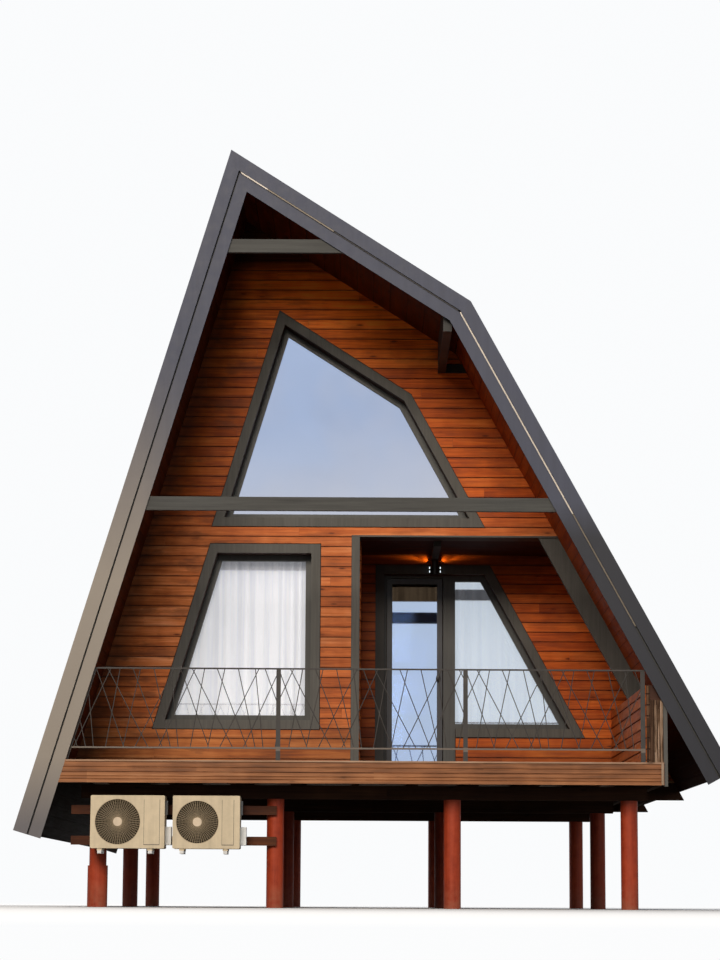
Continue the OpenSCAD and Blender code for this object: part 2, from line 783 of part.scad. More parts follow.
// Outdoor air units on brackets and timber rails between the first two piers
rail_face_y = front_row_y - pier_dia / 2 - unit_rail_t;
unit_y1 = rail_face_y - unit_back_gap;
unit_y0 = unit_y1 - unit_d;
unit_z1 = deck_h - unit_top;
unit_z0 = unit_z1 - unit_h;
module rounded(w, h, r) {
    translate([r, 0]) square([w - 2 * r, h]);
    translate([0, r]) square([w, h - 2 * r]);
    for (x = [r, w - r]) for (y = [r, h - r]) translate([x, y]) circle(r);
}
fan_place = 0.367;
foot_d = 22;
foot_w = 50;
rail_lift = 40;
module air_unit(x0, w, fan) {
    fan_x = x0 + w * fan_place;
    z = (unit_z0 + unit_z1) / 2;
    color("beige") {
        difference() {
            across(unit_y0, unit_y1) translate([x0, unit_z0]) rounded(w, unit_h, 14);
            translate([fan_x - mid_x, unit_y0 - 1 - mid_y, z]) rotate([-90, 0, 0])
                cylinder(d = fan, h = fan_depth + 1);
        }
        translate([fan_x - mid_x, unit_y0 + fan_depth / 2 - mid_y, z]) rotate([-90, 0, 0])
            cylinder(d = fan / 5, h = fan_depth / 2 + 1);
        block(x0 + w - 1, x0 + w + cover_t, unit_y1 - 60 - cover_w, unit_y1 - 60, unit_z0 + 40,
            unit_z0 + 40 + cover_h);
        for (x = [x0 + 70, x0 + w - 170])
            block(x, x + foot_w, unit_y0 + 10, unit_y1 - 10, unit_z0 - foot_d, unit_z0 + 1);
    }
}
unit_left_x = pier_x(0) - unit_lap;
unit_right_x = unit_left_x + unit_left_w + unit_gap;
module air_units() {
    air_unit(unit_left_x, unit_left_w, fan_dia_left);
    air_unit(unit_right_x, unit_right_w, fan_dia_right);
}
module fan_guard(x, fan) {
    z = (unit_z0 + unit_z1) / 2;
    translate([x - mid_x, unit_y0 + 8 - mid_y, z]) rotate([90, 0, 0]) {
        for (d = [fan - 1, fan * 0.78, fan * 0.56, fan * 0.34]) difference() {
            cylinder(d = d, h = 8);
            translate([0, 0, -1]) cylinder(d = d - 12, h = 10);
        }
        cylinder(d = 92, h = 12);
        for (a = [0:30:330]) rotate(a) translate([40, -3, 0]) cube([fan / 2 - 44, 6, 8]);
    }
}
module fan_guards() {
    color("dimgray") {
        fan_guard(unit_left_x + unit_left_w * fan_place, fan_dia_left);
        fan_guard(unit_right_x + unit_right_w * fan_place, fan_dia_right);
    }
}
module air_unit_rails() {
    color("sienna") for (z = [unit_z0 + rail_lift, unit_z1 - 2 * unit_rail_h])
        block(pier_x(0) - 270, pier_x(1) + 15, rail_face_y, rail_face_y + unit_rail_t,
            z, z + unit_rail_h);
}
module air_unit_brackets() {
    z = unit_z0 - foot_d;
    color("lightgray")
        for (x = [unit_left_x + 75, unit_left_x + unit_left_w - 165,
                unit_right_x + 75, unit_right_x + unit_right_w - 165]) {
            block(x, x + bracket_w, unit_y0 + 5, rail_face_y, z - bracket_h, z);
            block(x, x + bracket_w, rail_face_y - unit_back_gap / 2, rail_face_y, z - bracket_h,
                unit_z1 - unit_rail_h - 30);
        }
}

piers();
bearers();
floor_rims();
floor_joists();
deck_boards();
deck_front_board();
cabin_floor();
loft_floor();
roof_panel(0);  // roof_panel_left
roof_panel(1);  // roof_panel_upper
roof_panel(2);  // roof_panel_lower
roof_sheet(0);  // roof_sheet_left
roof_sheet(1);  // roof_sheet_upper
roof_sheet(2);  // roof_sheet_lower
fascia_front();
fascia_back();
front_rafters();
cross_beams();
knee_purlin();
front_wall_lower();
front_wall_upper();
corner_post();
recess_side_wall();
entrance_wall_left();
entrance_wall_right();
recess_rafter();
recess_ceiling_beam();
parapet();
parapet_end_post();
back_wall();
window_trims();
window_frames();
window_glass();
curtains();
entrance_trim();
entrance_frame();
door_leaf();
door_glass();
door_handle();
wall_lamp();
railing();
air_units();
fan_guards();
air_unit_rails();
air_unit_brackets();
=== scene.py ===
import math
import random

import bmesh
import bpy
from mathutils import Matrix, Vector


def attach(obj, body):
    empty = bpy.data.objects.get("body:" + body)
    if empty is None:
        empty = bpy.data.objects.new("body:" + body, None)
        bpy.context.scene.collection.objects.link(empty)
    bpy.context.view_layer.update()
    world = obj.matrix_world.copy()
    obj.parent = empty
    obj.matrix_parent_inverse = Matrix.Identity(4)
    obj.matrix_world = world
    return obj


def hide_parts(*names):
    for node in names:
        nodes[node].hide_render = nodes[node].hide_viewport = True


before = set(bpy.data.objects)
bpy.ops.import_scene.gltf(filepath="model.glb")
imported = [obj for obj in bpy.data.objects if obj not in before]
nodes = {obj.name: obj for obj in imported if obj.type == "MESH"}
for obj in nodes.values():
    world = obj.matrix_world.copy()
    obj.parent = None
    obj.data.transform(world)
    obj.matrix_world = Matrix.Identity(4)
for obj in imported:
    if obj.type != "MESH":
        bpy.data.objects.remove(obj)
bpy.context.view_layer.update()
scene = bpy.context.scene
random.seed(7)

# Sizes of the cabin in metres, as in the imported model
DECK = 1.470
RIDGE = 6.364
LEFT_LEAN, UPPER_LEAN, LOWER_LEAN = (math.radians(a) for a in (16.6, 57.3, 28.7))
UPPER_RUN = 2.503
LEFT_DROP, RIGHT_DROP = 0.710, 0.080
ROOF_LEN = 8.400
SOFFIT_IN = 0.106
FASCIA_IN = 0.285
WALL_Y = 2.350
ENTRANCE_Y = 3.950
BACK_Y = 7.800
WALL_T = 0.300
SPLIT = DECK + 2.604
RECESS_W = 3.628
POST_W = 0.090
LOFT_T, LOFT_SILL_H = 0.150, 0.546
PARAPET_T, PARAPET_H, PARAPET_INSET = 0.167, 0.790, 0.532
MARGIN, LOWER_MARGIN = 0.770, 0.812
TRIM_W, TRIM_T, FRAME_W = 0.100, 0.025, 0.065
WINDOW_INSET = 0.437
CURTAIN_LAP = 0.110
ENTRANCE_GAP = 0.181
JAMB_W, LEAF_GAP, LEAF_W, LOCK_GAP, MULLION_W = 0.030, 0.006, 0.648, 0.010, 0.140
CEILING_BEAM_D = 0.060
LAMP_DROP, LAMP_INSET = 0.112, 0.104
FLOOR_D, BEARER_D, PIER_INSET = 0.225, 0.140, 0.595
UNIT_TOP, UNIT_H, UNIT_LAP, UNIT_GAP = 0.350, 0.532, 0.042, 0.082
UNIT_LEFT_W, UNIT_RIGHT_W = 0.750, 0.680
FAN_PLACE = 0.367

# Wall boards: what one covers, its thickness and length, and the foot of the first row
BOARD = 0.112
BOARD_T = 0.018
BOARD_L = 3.9
BOARD_Z0 = DECK + 0.030
GOLDEN = 0.618034

ridge_z = DECK + RIDGE
knee = (UPPER_RUN, ridge_z - UPPER_RUN / math.tan(UPPER_LEAN))
left_len = (RIDGE + LEFT_DROP) / math.cos(LEFT_LEAN)
lower_len = (knee[1] - DECK + RIGHT_DROP) / math.cos(LOWER_LEAN)
N = [(math.cos(LEFT_LEAN), -math.sin(LEFT_LEAN)), (-math.cos(UPPER_LEAN), -math.sin(UPPER_LEAN)),
     (-math.cos(LOWER_LEAN), -math.sin(LOWER_LEAN))]
left_end = (-left_len * math.sin(LEFT_LEAN), ridge_z - left_len * math.cos(LEFT_LEAN))
right_end = (knee[0] + lower_len * math.sin(LOWER_LEAN), knee[1] - lower_len * math.cos(LOWER_LEAN))
MID_X = round((left_end[0] + right_end[0]) * 50000) / 100000
MID_Y = ROOF_LEN / 2


def corner(i, d):
    """Corner i of the roof's outline, moved inwards: left end, ridge, knee, right end."""
    if i == 0:
        return left_end[0] + d * N[0][0], left_end[1] + d * N[0][1]
    if i == 3:
        return right_end[0] + d * N[2][0], right_end[1] + d * N[2][1]
    p, a, b = ((0, ridge_z), N[0], N[1]) if i == 1 else (knee, N[1], N[2])
    k = d / (1 + a[0] * b[0] + a[1] * b[1])
    return p[0] + k * (a[0] + b[0]), p[1] + k * (a[1] + b[1])


def left_at(d, z):
    c = corner(1, d)
    return c[0] - (c[1] - z) * math.tan(LEFT_LEAN)


def right_at(d, z):
    c = corner(2, d)
    return c[0] + (c[1] - z) * math.tan(LOWER_LEAN)


SOFFIT_X = round(right_at(SOFFIT_IN, DECK), 3)
RECESS_X = SOFFIT_X - RECESS_W
PARAPET_X = SOFFIT_X - PARAPET_INSET
DOOR_L = RECESS_X + ENTRANCE_GAP
HEAD = DECK + 2.486

# For materials, in the frame of the part: the ridge line, and where the recess and the back wall begin
RIDGE_X = -MID_X
RECESS_Y = (-1.0, -0.9)
BACK_WALL_Y = (3.0, 3.2)


def gable(d, z):
    return [(left_at(d, z), z), corner(1, d), corner(2, d), (right_at(d, z), z)]


# Materials
class Nodes:
    """Short calls that add and link shader nodes in one tree."""

    def __init__(self, tree):
        self.t = tree
        tree.nodes.clear()

    def add(self, kind, **values):
        n = self.t.nodes.new(kind)
        for k, v in values.items():
            setattr(n, k, v)
        return n

    def put(self, socket, value):
        if isinstance(value, bpy.types.NodeSocket):
            self.t.links.new(value, socket)
        else:
            socket.default_value = value

    def math(self, op, a, b=0.0, c=0.0):
        n = self.add("ShaderNodeMath", operation=op)
        for s, v in zip(n.inputs, (a, b, c)):
            self.put(s, v)
        return n.outputs[0]

    def mul(self, a, b):
        return self.math("MULTIPLY", a, b)

    def plus(self, a, b):
        return self.math("ADD", a, b)

    def minus(self, a, b):
        return self.math("SUBTRACT", a, b)

    def most(self, a, b):
        return self.math("MAXIMUM", a, b)


class Graph(Nodes):
    """The nodes of one material, with its object coordinates as x, y and z."""

    def __init__(self, name):
        self.m = bpy.data.materials.new(name)
        self.m.use_nodes = True
        super().__init__(self.m.node_tree)
        self.out = self.add("ShaderNodeOutputMaterial")
        self.b = self.add("ShaderNodeBsdfPrincipled")
        self.put(self.out.inputs[0], self.b.outputs[0])
        self.co = self.add("ShaderNodeTexCoord").outputs["Object"]
        split = self.add("ShaderNodeSeparateXYZ")
        self.put(split.inputs[0], self.co)
        self.x, self.y, self.z = split.outputs

    def vec(self, x, y, z):
        n = self.add("ShaderNodeCombineXYZ")
        for s, v in zip(n.inputs, (x, y, z)):
            self.put(s, v)
        return n.outputs[0]

    def scaled(self, x, y, z):
        """Object coordinates stretched along each axis."""
        n = self.add("ShaderNodeVectorMath", operation="MULTIPLY")
        self.put(n.inputs[0], self.co)
        n.inputs[1].default_value = (x, y, z)
        return n.outputs[0]

    def blend(self, a, b, share):
        return self.plus(self.mul(a, share), self.mul(b, 1 - share))

    def around(self, a, amount):
        """How far a value from 0 to 1 lies from its middle, times an amount."""
        return self.mul(self.minus(a, 0.5), amount)

    def noise(self, v, scale, detail=4.0, rough=0.5, dist=0.0):
        n = self.add("ShaderNodeTexNoise")
        self.put(n.inputs["Vector"], v)
        n.inputs["Scale"].default_value = scale
        n.inputs["Detail"].default_value = detail
        n.inputs["Roughness"].default_value = rough
        n.inputs["Distortion"].default_value = dist
        return n.outputs["Fac"]

    def white(self, v):
        n = self.add("ShaderNodeTexWhiteNoise", noise_dimensions="3D")
        self.put(n.inputs["Vector"], v)
        return n.outputs["Value"]

    def voronoi(self, v):
        n = self.add("ShaderNodeTexVoronoi")
        self.put(n.inputs["Vector"], v)
        n.inputs["Scale"].default_value = 1.0
        return n.outputs["Distance"]

    def ramp(self, fac, stops):
        n = self.add("ShaderNodeValToRGB")
        self.put(n.inputs[0], fac)
        e = n.color_ramp.elements
        while len(e) < len(stops):
            e.new(0.5)
        for el, (p, c) in zip(e, stops):
            el.position = p
            el.color = (*c, 1)
        return n.outputs[0]

    def mix(self, fac, a, b, mode="MIX"):
        n = self.add("ShaderNodeMix", data_type="RGBA", blend_type=mode)
        self.put(n.inputs[0], fac)
        for s, v in ((n.inputs[6], a), (n.inputs[7], b)):
            self.put(s, (*v, 1) if isinstance(v, tuple) else v)
        return n.outputs[2]

    def step(self, v, lo, hi, a=0.0, b=1.0):
        """Goes from a at lo to b at hi, and stays level beyond them."""
        n = self.add("ShaderNodeMapRange")
        self.put(n.inputs[0], v)
        for k, x in zip((1, 2, 3, 4), (lo, hi, a, b)):
            n.inputs[k].default_value = x
        return n.outputs[0]

    def drop(self, v, lo, hi):
        return self.step(v, lo, hi, 1.0, 0.0)

    def bump(self, height, strength, distance, normal=None):
        n = self.add("ShaderNodeBump")
        n.inputs["Strength"].default_value = strength
        n.inputs["Distance"].default_value = distance
        self.put(n.inputs["Height"], height)
        if normal is not None:
            self.put(n.inputs["Normal"], normal)
        return n.outputs[0]

    def finish(self, color, rough, normal=None, **values):
        self.put(self.b.inputs["Base Color"], (*color, 1) if isinstance(color, tuple) else color)
        self.put(self.b.inputs["Roughness"], rough)
        if normal is not None:
            self.put(self.b.inputs["Normal"], normal)
        for k, v in values.items():
            self.b.inputs[k.replace("_", " ")].default_value = v
        return self.m


def times(color, k):
    return tuple(c * k for c in color)


def tinted(tones, tint):
    return [(at, tuple(c * k for c, k in zip(color, tint))) for at, color in tones]


def wood(name, tones, across="z", along="x", width=BOARD, z0=0.0, length=BOARD_L, gloss=0.5, knots=1.0,
         spread=1.0, grooves=False, shade=None, spec=0.24, worn=0.0, tone=None):
    """Boards with their own tone, grain and knots. Rows lie across one axis and run along another;
    tone recolours them by their place, with painted light and shade, and shade gives where painted shade makes them
    nearly black."""
    g = Graph(name)
    axes = {"x": g.x, "y": g.y, "z": g.z}
    v, u = axes.pop(across), axes.pop(along)
    w, = axes.values()
    darkest = tones[0][1]
    rows = g.math("DIVIDE", g.minus(v, z0), width)
    row, in_row = g.math("FLOOR", rows), g.math("FRACT", rows)
    shift = g.mul(g.math("FRACT", g.mul(row, GOLDEN)), length)
    run = g.math("DIVIDE", g.plus(u, shift), length)
    seg = g.math("FLOOR", run)
    ident = g.white(g.vec(row, seg, 3.0))
    off = g.mul(ident, 31.0)

    def grain(lengthways, crossways):
        return g.vec(g.plus(g.mul(u, lengthways), off), g.mul(v, crossways), g.mul(w, crossways))

    fine = g.noise(grain(1.6, 42.0), 1.0, 6.0, 0.62, 0.6)
    wide_v = grain(0.9, 9.0)
    wide = g.noise(wide_v, 1.0, 3.0, 0.5, 0.4)
    knot_d = g.voronoi(grain(2.3, 8.5))
    rare = g.step(g.white(g.vec(row, seg, 5.0)), 0.22, 0.32)
    knot = g.mul(g.drop(knot_d, 0.045, 0.12), rare)
    halo = g.mul(g.drop(knot_d, 0.08, 0.32), rare)
    blotch = g.noise(g.co, 2.2, 3.0, 0.55)
    piece = g.noise(g.vec(g.mul(u, 4.2), g.mul(row, 7.31), off), 1.0, 2.0, 0.5)
    # Tone: grain, then a lift for each board, for blotches and for runs within a board
    level = g.blend(fine, wide, 0.55)
    for part, amount in ((ident, 0.13 * spread), (blotch, 0.16), (piece, 0.24 * spread)):
        level = g.plus(level, g.around(part, amount))
    color = g.ramp(level, tones)
    color = g.mix(g.mul(halo, 0.22 * knots), color, darkest)
    color = g.mix(g.mul(knot, 0.75 * knots), color, times(darkest, 0.45))
    tint = g.mix(g.white(g.vec(row, seg, 9.0)), (0.94, 0.96, 1.0), (1.0, 0.97, 0.93))
    color = g.mix(0.8, color, tint, "MULTIPLY")
    if worn:
        # Darker edges that waver, painted shade where the lip of each board shades the joint, and faded stretches
        waver = g.around(g.noise(g.vec(g.mul(u, 3.0), off, row), 1.3, 3.0), 0.20)
        dark = g.most(g.drop(g.plus(in_row, waver), 0.03, 0.17), g.step(g.minus(in_row, waver), 0.86, 1.00))
        color = g.mix(g.mul(dark, worn), color, times(darkest, 0.55))
        fade = g.step(g.noise(wide_v, 0.55, 4.0, 0.6), 0.56, 0.72)
        color = g.mix(g.mul(fade, 0.22), color, tones[-1][1])
    # tone paints light and shade by place
    if tone is not None:
        color = tone(g, color)
    # Painted shade: nearly black where shade gives
    if shade is not None:
        color = g.mix(shade(g), color, times(darkest, 0.10))
    rough = g.step(fine, 0.2, 0.8, gloss - 0.08, gloss + 0.14)
    normal = g.bump(g.minus(fine, g.mul(knot, 0.3)), 0.35, 0.0012)
    if grooves:
        # Joints between rows and butt ends, where no boards are modelled
        joint = g.plus(g.drop(in_row, 0.0, 0.035), g.step(in_row, 0.965, 1.0))
        joint = g.most(joint, g.drop(g.math("FRACT", run), 0.0, 0.0008))
        color = g.mix(g.mul(joint, 0.85), color, times(darkest, 0.25))
        normal = g.bump(g.minus(1.0, joint), 0.9, 0.004, normal)
    return g.finish(color, rough, normal, Specular_IOR_Level=spec)


WALL_TONES = [(0.24, (0.170, 0.030, 0.004)), (0.42, (0.380, 0.086, 0.015)), (0.56, (0.550, 0.148, 0.034)),
              (0.74, (0.720, 0.260, 0.095))]
SOFFIT_TONES = [(0.24, (0.034, 0.006, 0.0009)), (0.42, (0.085, 0.015, 0.0022)), (0.58, (0.150, 0.028, 0.004)),
                (0.76, (0.230, 0.052, 0.010))]
DECK_TONES = [(0.24, (0.075, 0.029, 0.012)), (0.42, (0.21, 0.080, 0.030)), (0.58, (0.35, 0.142, 0.055)),
              (0.78, (0.52, 0.260, 0.125))]
FLOOR_TONES = [(0.24, (0.16, 0.075, 0.030)), (0.45, (0.30, 0.155, 0.066)), (0.60, (0.42, 0.235, 0.110)),
               (0.78, (0.55, 0.34, 0.18))]
# Painted shade: the timbers under the deck made nearly black
SHADED_TIMBER_TONES = [(0.24, (0.016, 0.007, 0.004)), (0.45, (0.035, 0.015, 0.008)), (0.60, (0.055, 0.024, 0.012)),
              (0.78, (0.085, 0.040, 0.020))]
# Painted shade: the air units' rails darkened, as in the deck's shade
UNIT_SHADED_TONES = [(0.24, (0.025, 0.007, 0.003)), (0.45, (0.06, 0.018, 0.007)), (0.60, (0.10, 0.032, 0.012)),
              (0.78, (0.15, 0.052, 0.022))]


def eaves_shade(g):
    """Painted shade: soffit boards nearly black towards the lower ends of both slopes, and a little higher on the
    right.
    """
    low = g.drop(g.z, DECK - 0.15, DECK + 0.25)
    right = g.mul(g.drop(g.z, DECK + 0.25, DECK + 0.95), g.step(g.x, 2.3, 2.7))
    return g.mul(g.most(low, right), 0.9)


def recess_painted_shade(g):
    """Painted shade where the recess is dim: its left corner and the top below its ceiling."""
    left = DOOR_L - MID_X
    corner_in = g.drop(g.x, left + 0.05, left + 0.40)
    top = g.step(g.z, HEAD - 0.14, HEAD + 0.02)
    return g.mul(g.most(corner_in, top), g.step(g.y, -1.4, -1.3))


def board_tone_light_and_shade(g, color):
    """Boards by their place: redder in painted shade under the upper roof and in the recess, paler on the lower
    front, with painted light, painted shade, stains and pale patches.
    """
    front = g.drop(g.y, *BACK_WALL_Y)
    # Painted shade: redder, deeper boards under the upper roof and in the recess
    deep = g.mul(g.most(g.step(g.z, DECK + 2.55, DECK + 2.95), g.step(g.y, -1.6, -1.2)), front)
    color = g.mix(deep, color, (1.16, 0.84, 0.36), "MULTIPLY")
    # Painted light: the top of the gable made brighter
    high = g.mul(g.step(g.z, 5.7, 6.5), g.step(g.x, RIDGE_X, RIDGE_X + 0.9, 0.7, 1.0))
    color = g.mix(g.mul(high, front), color, (1.72, 1.90, 1.60), "MULTIPLY")
    # Painted shade on the upper left
    left = g.mul(g.drop(g.x, RIDGE_X - 0.2, RIDGE_X + 0.5), g.step(g.z, SPLIT, SPLIT + 0.5))
    color = g.mix(g.mul(left, front), color, (0.74, 0.80, 0.95), "MULTIPLY")
    # Painted shade: nearly black at the apex
    apex = g.mul(g.step(g.z, 7.02, 7.22, 0.0, 0.9), front)
    color = g.mix(apex, color, (0.010, 0.003, 0.001))
    # Darker towards the foot of the wall
    foot = g.drop(g.z, DECK + 0.36, DECK + 0.62)
    color = g.mix(g.mul(foot, front), color, (0.66, 0.74, 0.70), "MULTIPLY")
    # Painted light: sunlight on the lower left
    sunlit = g.mul(g.drop(g.x, RIDGE_X - 0.1, RIDGE_X + 0.4), g.drop(g.z, SPLIT - 0.4, SPLIT))
    color = g.mix(g.mul(sunlit, front), color, (1.30, 1.42, 1.60), "MULTIPLY")
    # Stains and pale patches, most on the left
    patch = g.noise(g.scaled(1.3, 1.0, 4.0), 1.5, 4.0, 0.62)
    side = g.mul(g.step(g.x, RIDGE_X - 0.2, RIDGE_X + 1.1, 1.0, 0.45), front)
    stain = g.mul(g.step(patch, 0.51, 0.62, 0.0, 0.50), side)
    color = g.mix(stain, color, (0.105, 0.034, 0.013))
    pale = g.mul(g.step(patch, 0.48, 0.36, 0.0, 0.30), side)
    color = g.mix(pale, color, (1.35, 1.50, 1.70), "MULTIPLY")
    # Painted shade in a wavering strip along the left soffit
    ridge_in = corner(1, SOFFIT_IN)
    inwards = g.plus(g.math("MULTIPLY_ADD", g.z, -math.tan(LEFT_LEAN), g.x),
                     ridge_in[1] * math.tan(LEFT_LEAN) - ridge_in[0] - RIDGE_X)
    waver = g.mul(g.noise(g.co, 2.6, 3.0), 0.24)
    painted_soffit_shade = g.step(g.minus(inwards, waver), -0.06, 0.16, 0.72, 0.0)
    color = g.mix(g.mul(painted_soffit_shade, front), color, (0.016, 0.005, 0.002))
    # Painted shade in the dim places of the recess
    return g.mix(g.mul(recess_painted_shade(g), 0.55), color, (0.020, 0.006, 0.002))


wall_wood = wood("wall_boards", WALL_TONES, z0=BOARD_Z0, worn=0.45, knots=1.2, spec=0.15, tone=board_tone_light_and_shade)
side_wood = wood("side_boards", WALL_TONES, along="y", z0=BOARD_Z0, worn=0.5, spec=0.12)
# Near-black ground behind the boards: painted shade in the gaps between the rows and round the trims
wall_back_painted_shade = wood("wall_ground", tinted(WALL_TONES, [0.08] * 3), z0=BOARD_Z0)
SOFFIT = dict(along="y", width=0.118, z0=0.02, grooves=True, gloss=0.60, shade=eaves_shade)
soffit_wood = wood("soffit_boards", SOFFIT_TONES, spread=0.5, spec=0.10, **SOFFIT)
# Painted shade: a darker copy of the soffit boards for the left slope
soffit_left_shaded_wood = wood("soffit_boards_left_shaded", tinted(SOFFIT_TONES, [0.55] * 3), spread=0.5, spec=0.08, **SOFFIT)
# Painted light: a brighter, oranger copy of the soffit boards for the lower right slope
soffit_low_lit_wood = wood("soffit_boards_low_lit", tinted(WALL_TONES, (0.78, 0.56, 0.34)), spread=0.6, spec=0.12, **SOFFIT)
loft_wood = wood("loft_boards", tinted(SOFFIT_TONES, [0.4] * 3), across="y", width=0.118, grooves=True,
                 gloss=0.6, spread=0.5, spec=0.10)
deck_wood = wood("deck_boards", DECK_TONES, across="y", width=0.140, z0=-4.2, length=3.0, grooves=True,
                 gloss=0.55, knots=0.7)
front_wood = wood("deck_front", DECK_TONES, width=0.117, z0=DECK - FLOOR_D, length=2.9, knots=0.9)
floor_wood = wood("floor_boards", FLOOR_TONES, across="y", width=0.120, grooves=True, gloss=0.4)
joist_wood = wood("joist_timber", SHADED_TIMBER_TONES, across="x", along="y", width=0.24, gloss=0.7, spec=0.10)
bearer_wood = wood("bearer_timber", SHADED_TIMBER_TONES, across="y", width=0.3, gloss=0.7, spec=0.10)
unit_wood = wood("unit_timber", UNIT_SHADED_TONES, width=0.15, z0=0.03, gloss=0.6, spec=0.15)
edge_wood = wood("deck_edge", [(0.2, (0.16, 0.080, 0.040)), (0.5, (0.34, 0.20, 0.12)), (0.8, (0.52, 0.36, 0.25))],
                 width=0.117, length=2.9, gloss=0.6)
UPRIGHT = dict(across="x", along="z", gloss=0.75, spec=0.1)
end_wood = wood("end_board", [(0.28, (0.030, 0.016, 0.009)), (0.44, (0.110, 0.062, 0.036)),
                              (0.56, (0.25, 0.16, 0.10)), (0.74, (0.44, 0.31, 0.22))],
                width=0.012, length=3.0, spread=3.0, **UPRIGHT)
tip_wood = wood("board_ends", [(0.28, (0.018, 0.010, 0.006)), (0.44, (0.045, 0.024, 0.014)),
                               (0.56, (0.080, 0.042, 0.024)), (0.74, (0.15, 0.085, 0.05))],
                width=0.018, length=0.4, spread=2.0, **UPRIGHT)
strip_wood = wood("deck_end_strip", [(0.28, (0.11, 0.068, 0.040)), (0.5, (0.29, 0.20, 0.135)),
                                     (0.74, (0.44, 0.33, 0.24))],
                  width=0.012, length=3.0, spread=1.5, **UPRIGHT)


def painted(name, base, along, grain=0.45, gloss=0.55, spread=0.34, dim=None):
    """Painted timber whose grain still shows, with slightly uneven colour and rubbed spots."""
    g = Graph(name)
    v = g.scaled(*(1.5 if axis == along else 34.0 for axis in "xyz"))
    fine = g.noise(v, 1.0, 6.0, 0.65, 0.4)
    cloud = g.noise(g.co, 1.7, 4.0, 0.55)
    color = g.ramp(g.blend(fine, cloud, 0.6),
                   [(0.30, times(base, 1 - spread)), (0.50, base), (0.72, times(base, 1 + spread))])
    spots = g.step(g.noise(v, 0.45, 3.0, 0.7), 0.66, 0.74)
    color = g.mix(g.mul(spots, 0.25), color, times(base, 1.9))
    # Painted shade where dim marks a dim place
    if dim is not None:
        color = g.mix(g.mul(dim(g), 0.72), color, (0.010, 0.011, 0.013))
    rough = g.step(cloud, 0.25, 0.75, gloss - 0.07, gloss + 0.12)
    return g.finish(color, rough, g.bump(fine, grain, 0.0012), Specular_IOR_Level=0.30)


TRIM = (0.078, 0.076, 0.068)
# Painted shade: the trims' grey paint made darker for the beams and front rafters
BEAM = (0.045, 0.045, 0.041)
beam_x = painted("beam_paint_x", BEAM, "x", 0.6, 0.6, 0.60)
# Painted shade: the grey paint made near-black for the purlin and the recess ceiling beam
purlin_shaded_paint = painted("purlin_shaded_paint", (0.022, 0.021, 0.019), "y")
beam_z = painted("beam_paint_z", BEAM, "z")
trim_x = painted("grey_timber_x", TRIM, "x")
trim_z = painted("grey_timber_z", TRIM, "z")
# The recess's trims and frames get painted shade in its dim places
entrance_paint = painted("entrance_paint", TRIM, "z", dim=recess_painted_shade)
entrance_frame_paint = painted("entrance_frame_paint", (0.060, 0.062, 0.060), "z", 0.2, 0.38, dim=recess_painted_shade)
frame_paint = painted("frame_paint", (0.052, 0.054, 0.050), "z", 0.2, 0.38)
sash_paint = painted("sash_paint", (0.050, 0.053, 0.062), "z", 0.2, 0.36)


def fascia_light_and_shade(g, color):
    """Painted light: warm sunlight low on the left slope; painted shade low on the right."""
    left = g.mul(g.drop(g.x, RIDGE_X - 0.9, RIDGE_X - 0.2),
                 g.mul(g.drop(g.z, 3.3, 5.6), g.step(g.z, 0.8, 1.5, 0.35, 1.0)))
    color = g.mix(g.mul(left, 0.80), color, (0.327, 0.285, 0.232))
    right = g.mul(g.step(g.x, 1.6, 1.8), g.drop(g.z, 3.75, 4.15))
    return g.mix(g.mul(right, 0.75), color, (0.020, 0.020, 0.020))


def dusty_rail(g, color):
    """Dust on the lower rail, and a few rubbed places."""
    low = g.mul(g.step(g.z, DECK + 0.100, DECK + 0.108), g.drop(g.z, DECK + 0.140, DECK + 0.150))
    worn = g.step(g.noise(g.co, 3.0, 4.0, 0.7), 0.56, 0.70)
    color = g.mix(g.mul(worn, 0.35), color, (0.13, 0.115, 0.10))
    return g.mix(g.mul(low, 0.7), color, (0.20, 0.165, 0.135))


def sheet_metal(name, base, gloss=0.38, metal=0.0, spec=0.5, fade=None):
    """Painted folded sheet: faint long waves, light dust and soft stains; fade recolours it by its place, with
    painted light and shade on the fascia and dust on the rail.
    """
    g = Graph(name)
    wave = g.noise(g.scaled(0.7, 0.7, 0.35), 1.6, 3.0, 0.5, 0.2)
    dust = g.noise(g.co, 9.0, 6.0, 0.7)
    streak = g.noise(g.scaled(16.0, 16.0, 0.9), 1.0, 4.0, 0.6)
    color = g.ramp(g.blend(dust, streak, 0.5), [(0.32, times(base, 0.86)), (0.5, base), (0.70, times(base, 1.18))])
    if fade is not None:
        color = fade(g, color)
    rough = g.step(dust, 0.3, 0.7, gloss - 0.06, gloss + 0.10)
    return g.finish(color, rough, g.bump(wave, 0.25, 0.006), Metallic=metal, Specular_IOR_Level=spec)


fascia_metal = sheet_metal("fascia_metal", (0.062, 0.068, 0.096), 0.50, spec=0.19, fade=fascia_light_and_shade)
roof_metal = sheet_metal("roof_metal", (0.070, 0.078, 0.086), 0.52, spec=0.3)
rail_metal = sheet_metal("rail_metal", (0.046, 0.042, 0.039), 0.55, spec=0.25, fade=dusty_rail)
casing_paint = sheet_metal("casing_paint", (0.58, 0.485, 0.335), 0.50, spec=0.3)
casing_dark = sheet_metal("casing_dark", (0.13, 0.11, 0.085), 0.5)
handle_grey = sheet_metal("handle_grey", (0.10, 0.11, 0.12), 0.5)
guard_wire = sheet_metal("guard_wire", (0.36, 0.285, 0.185), 0.5, spec=0.3)
hub_paint = sheet_metal("hub_paint", (0.62, 0.50, 0.36), 0.45)
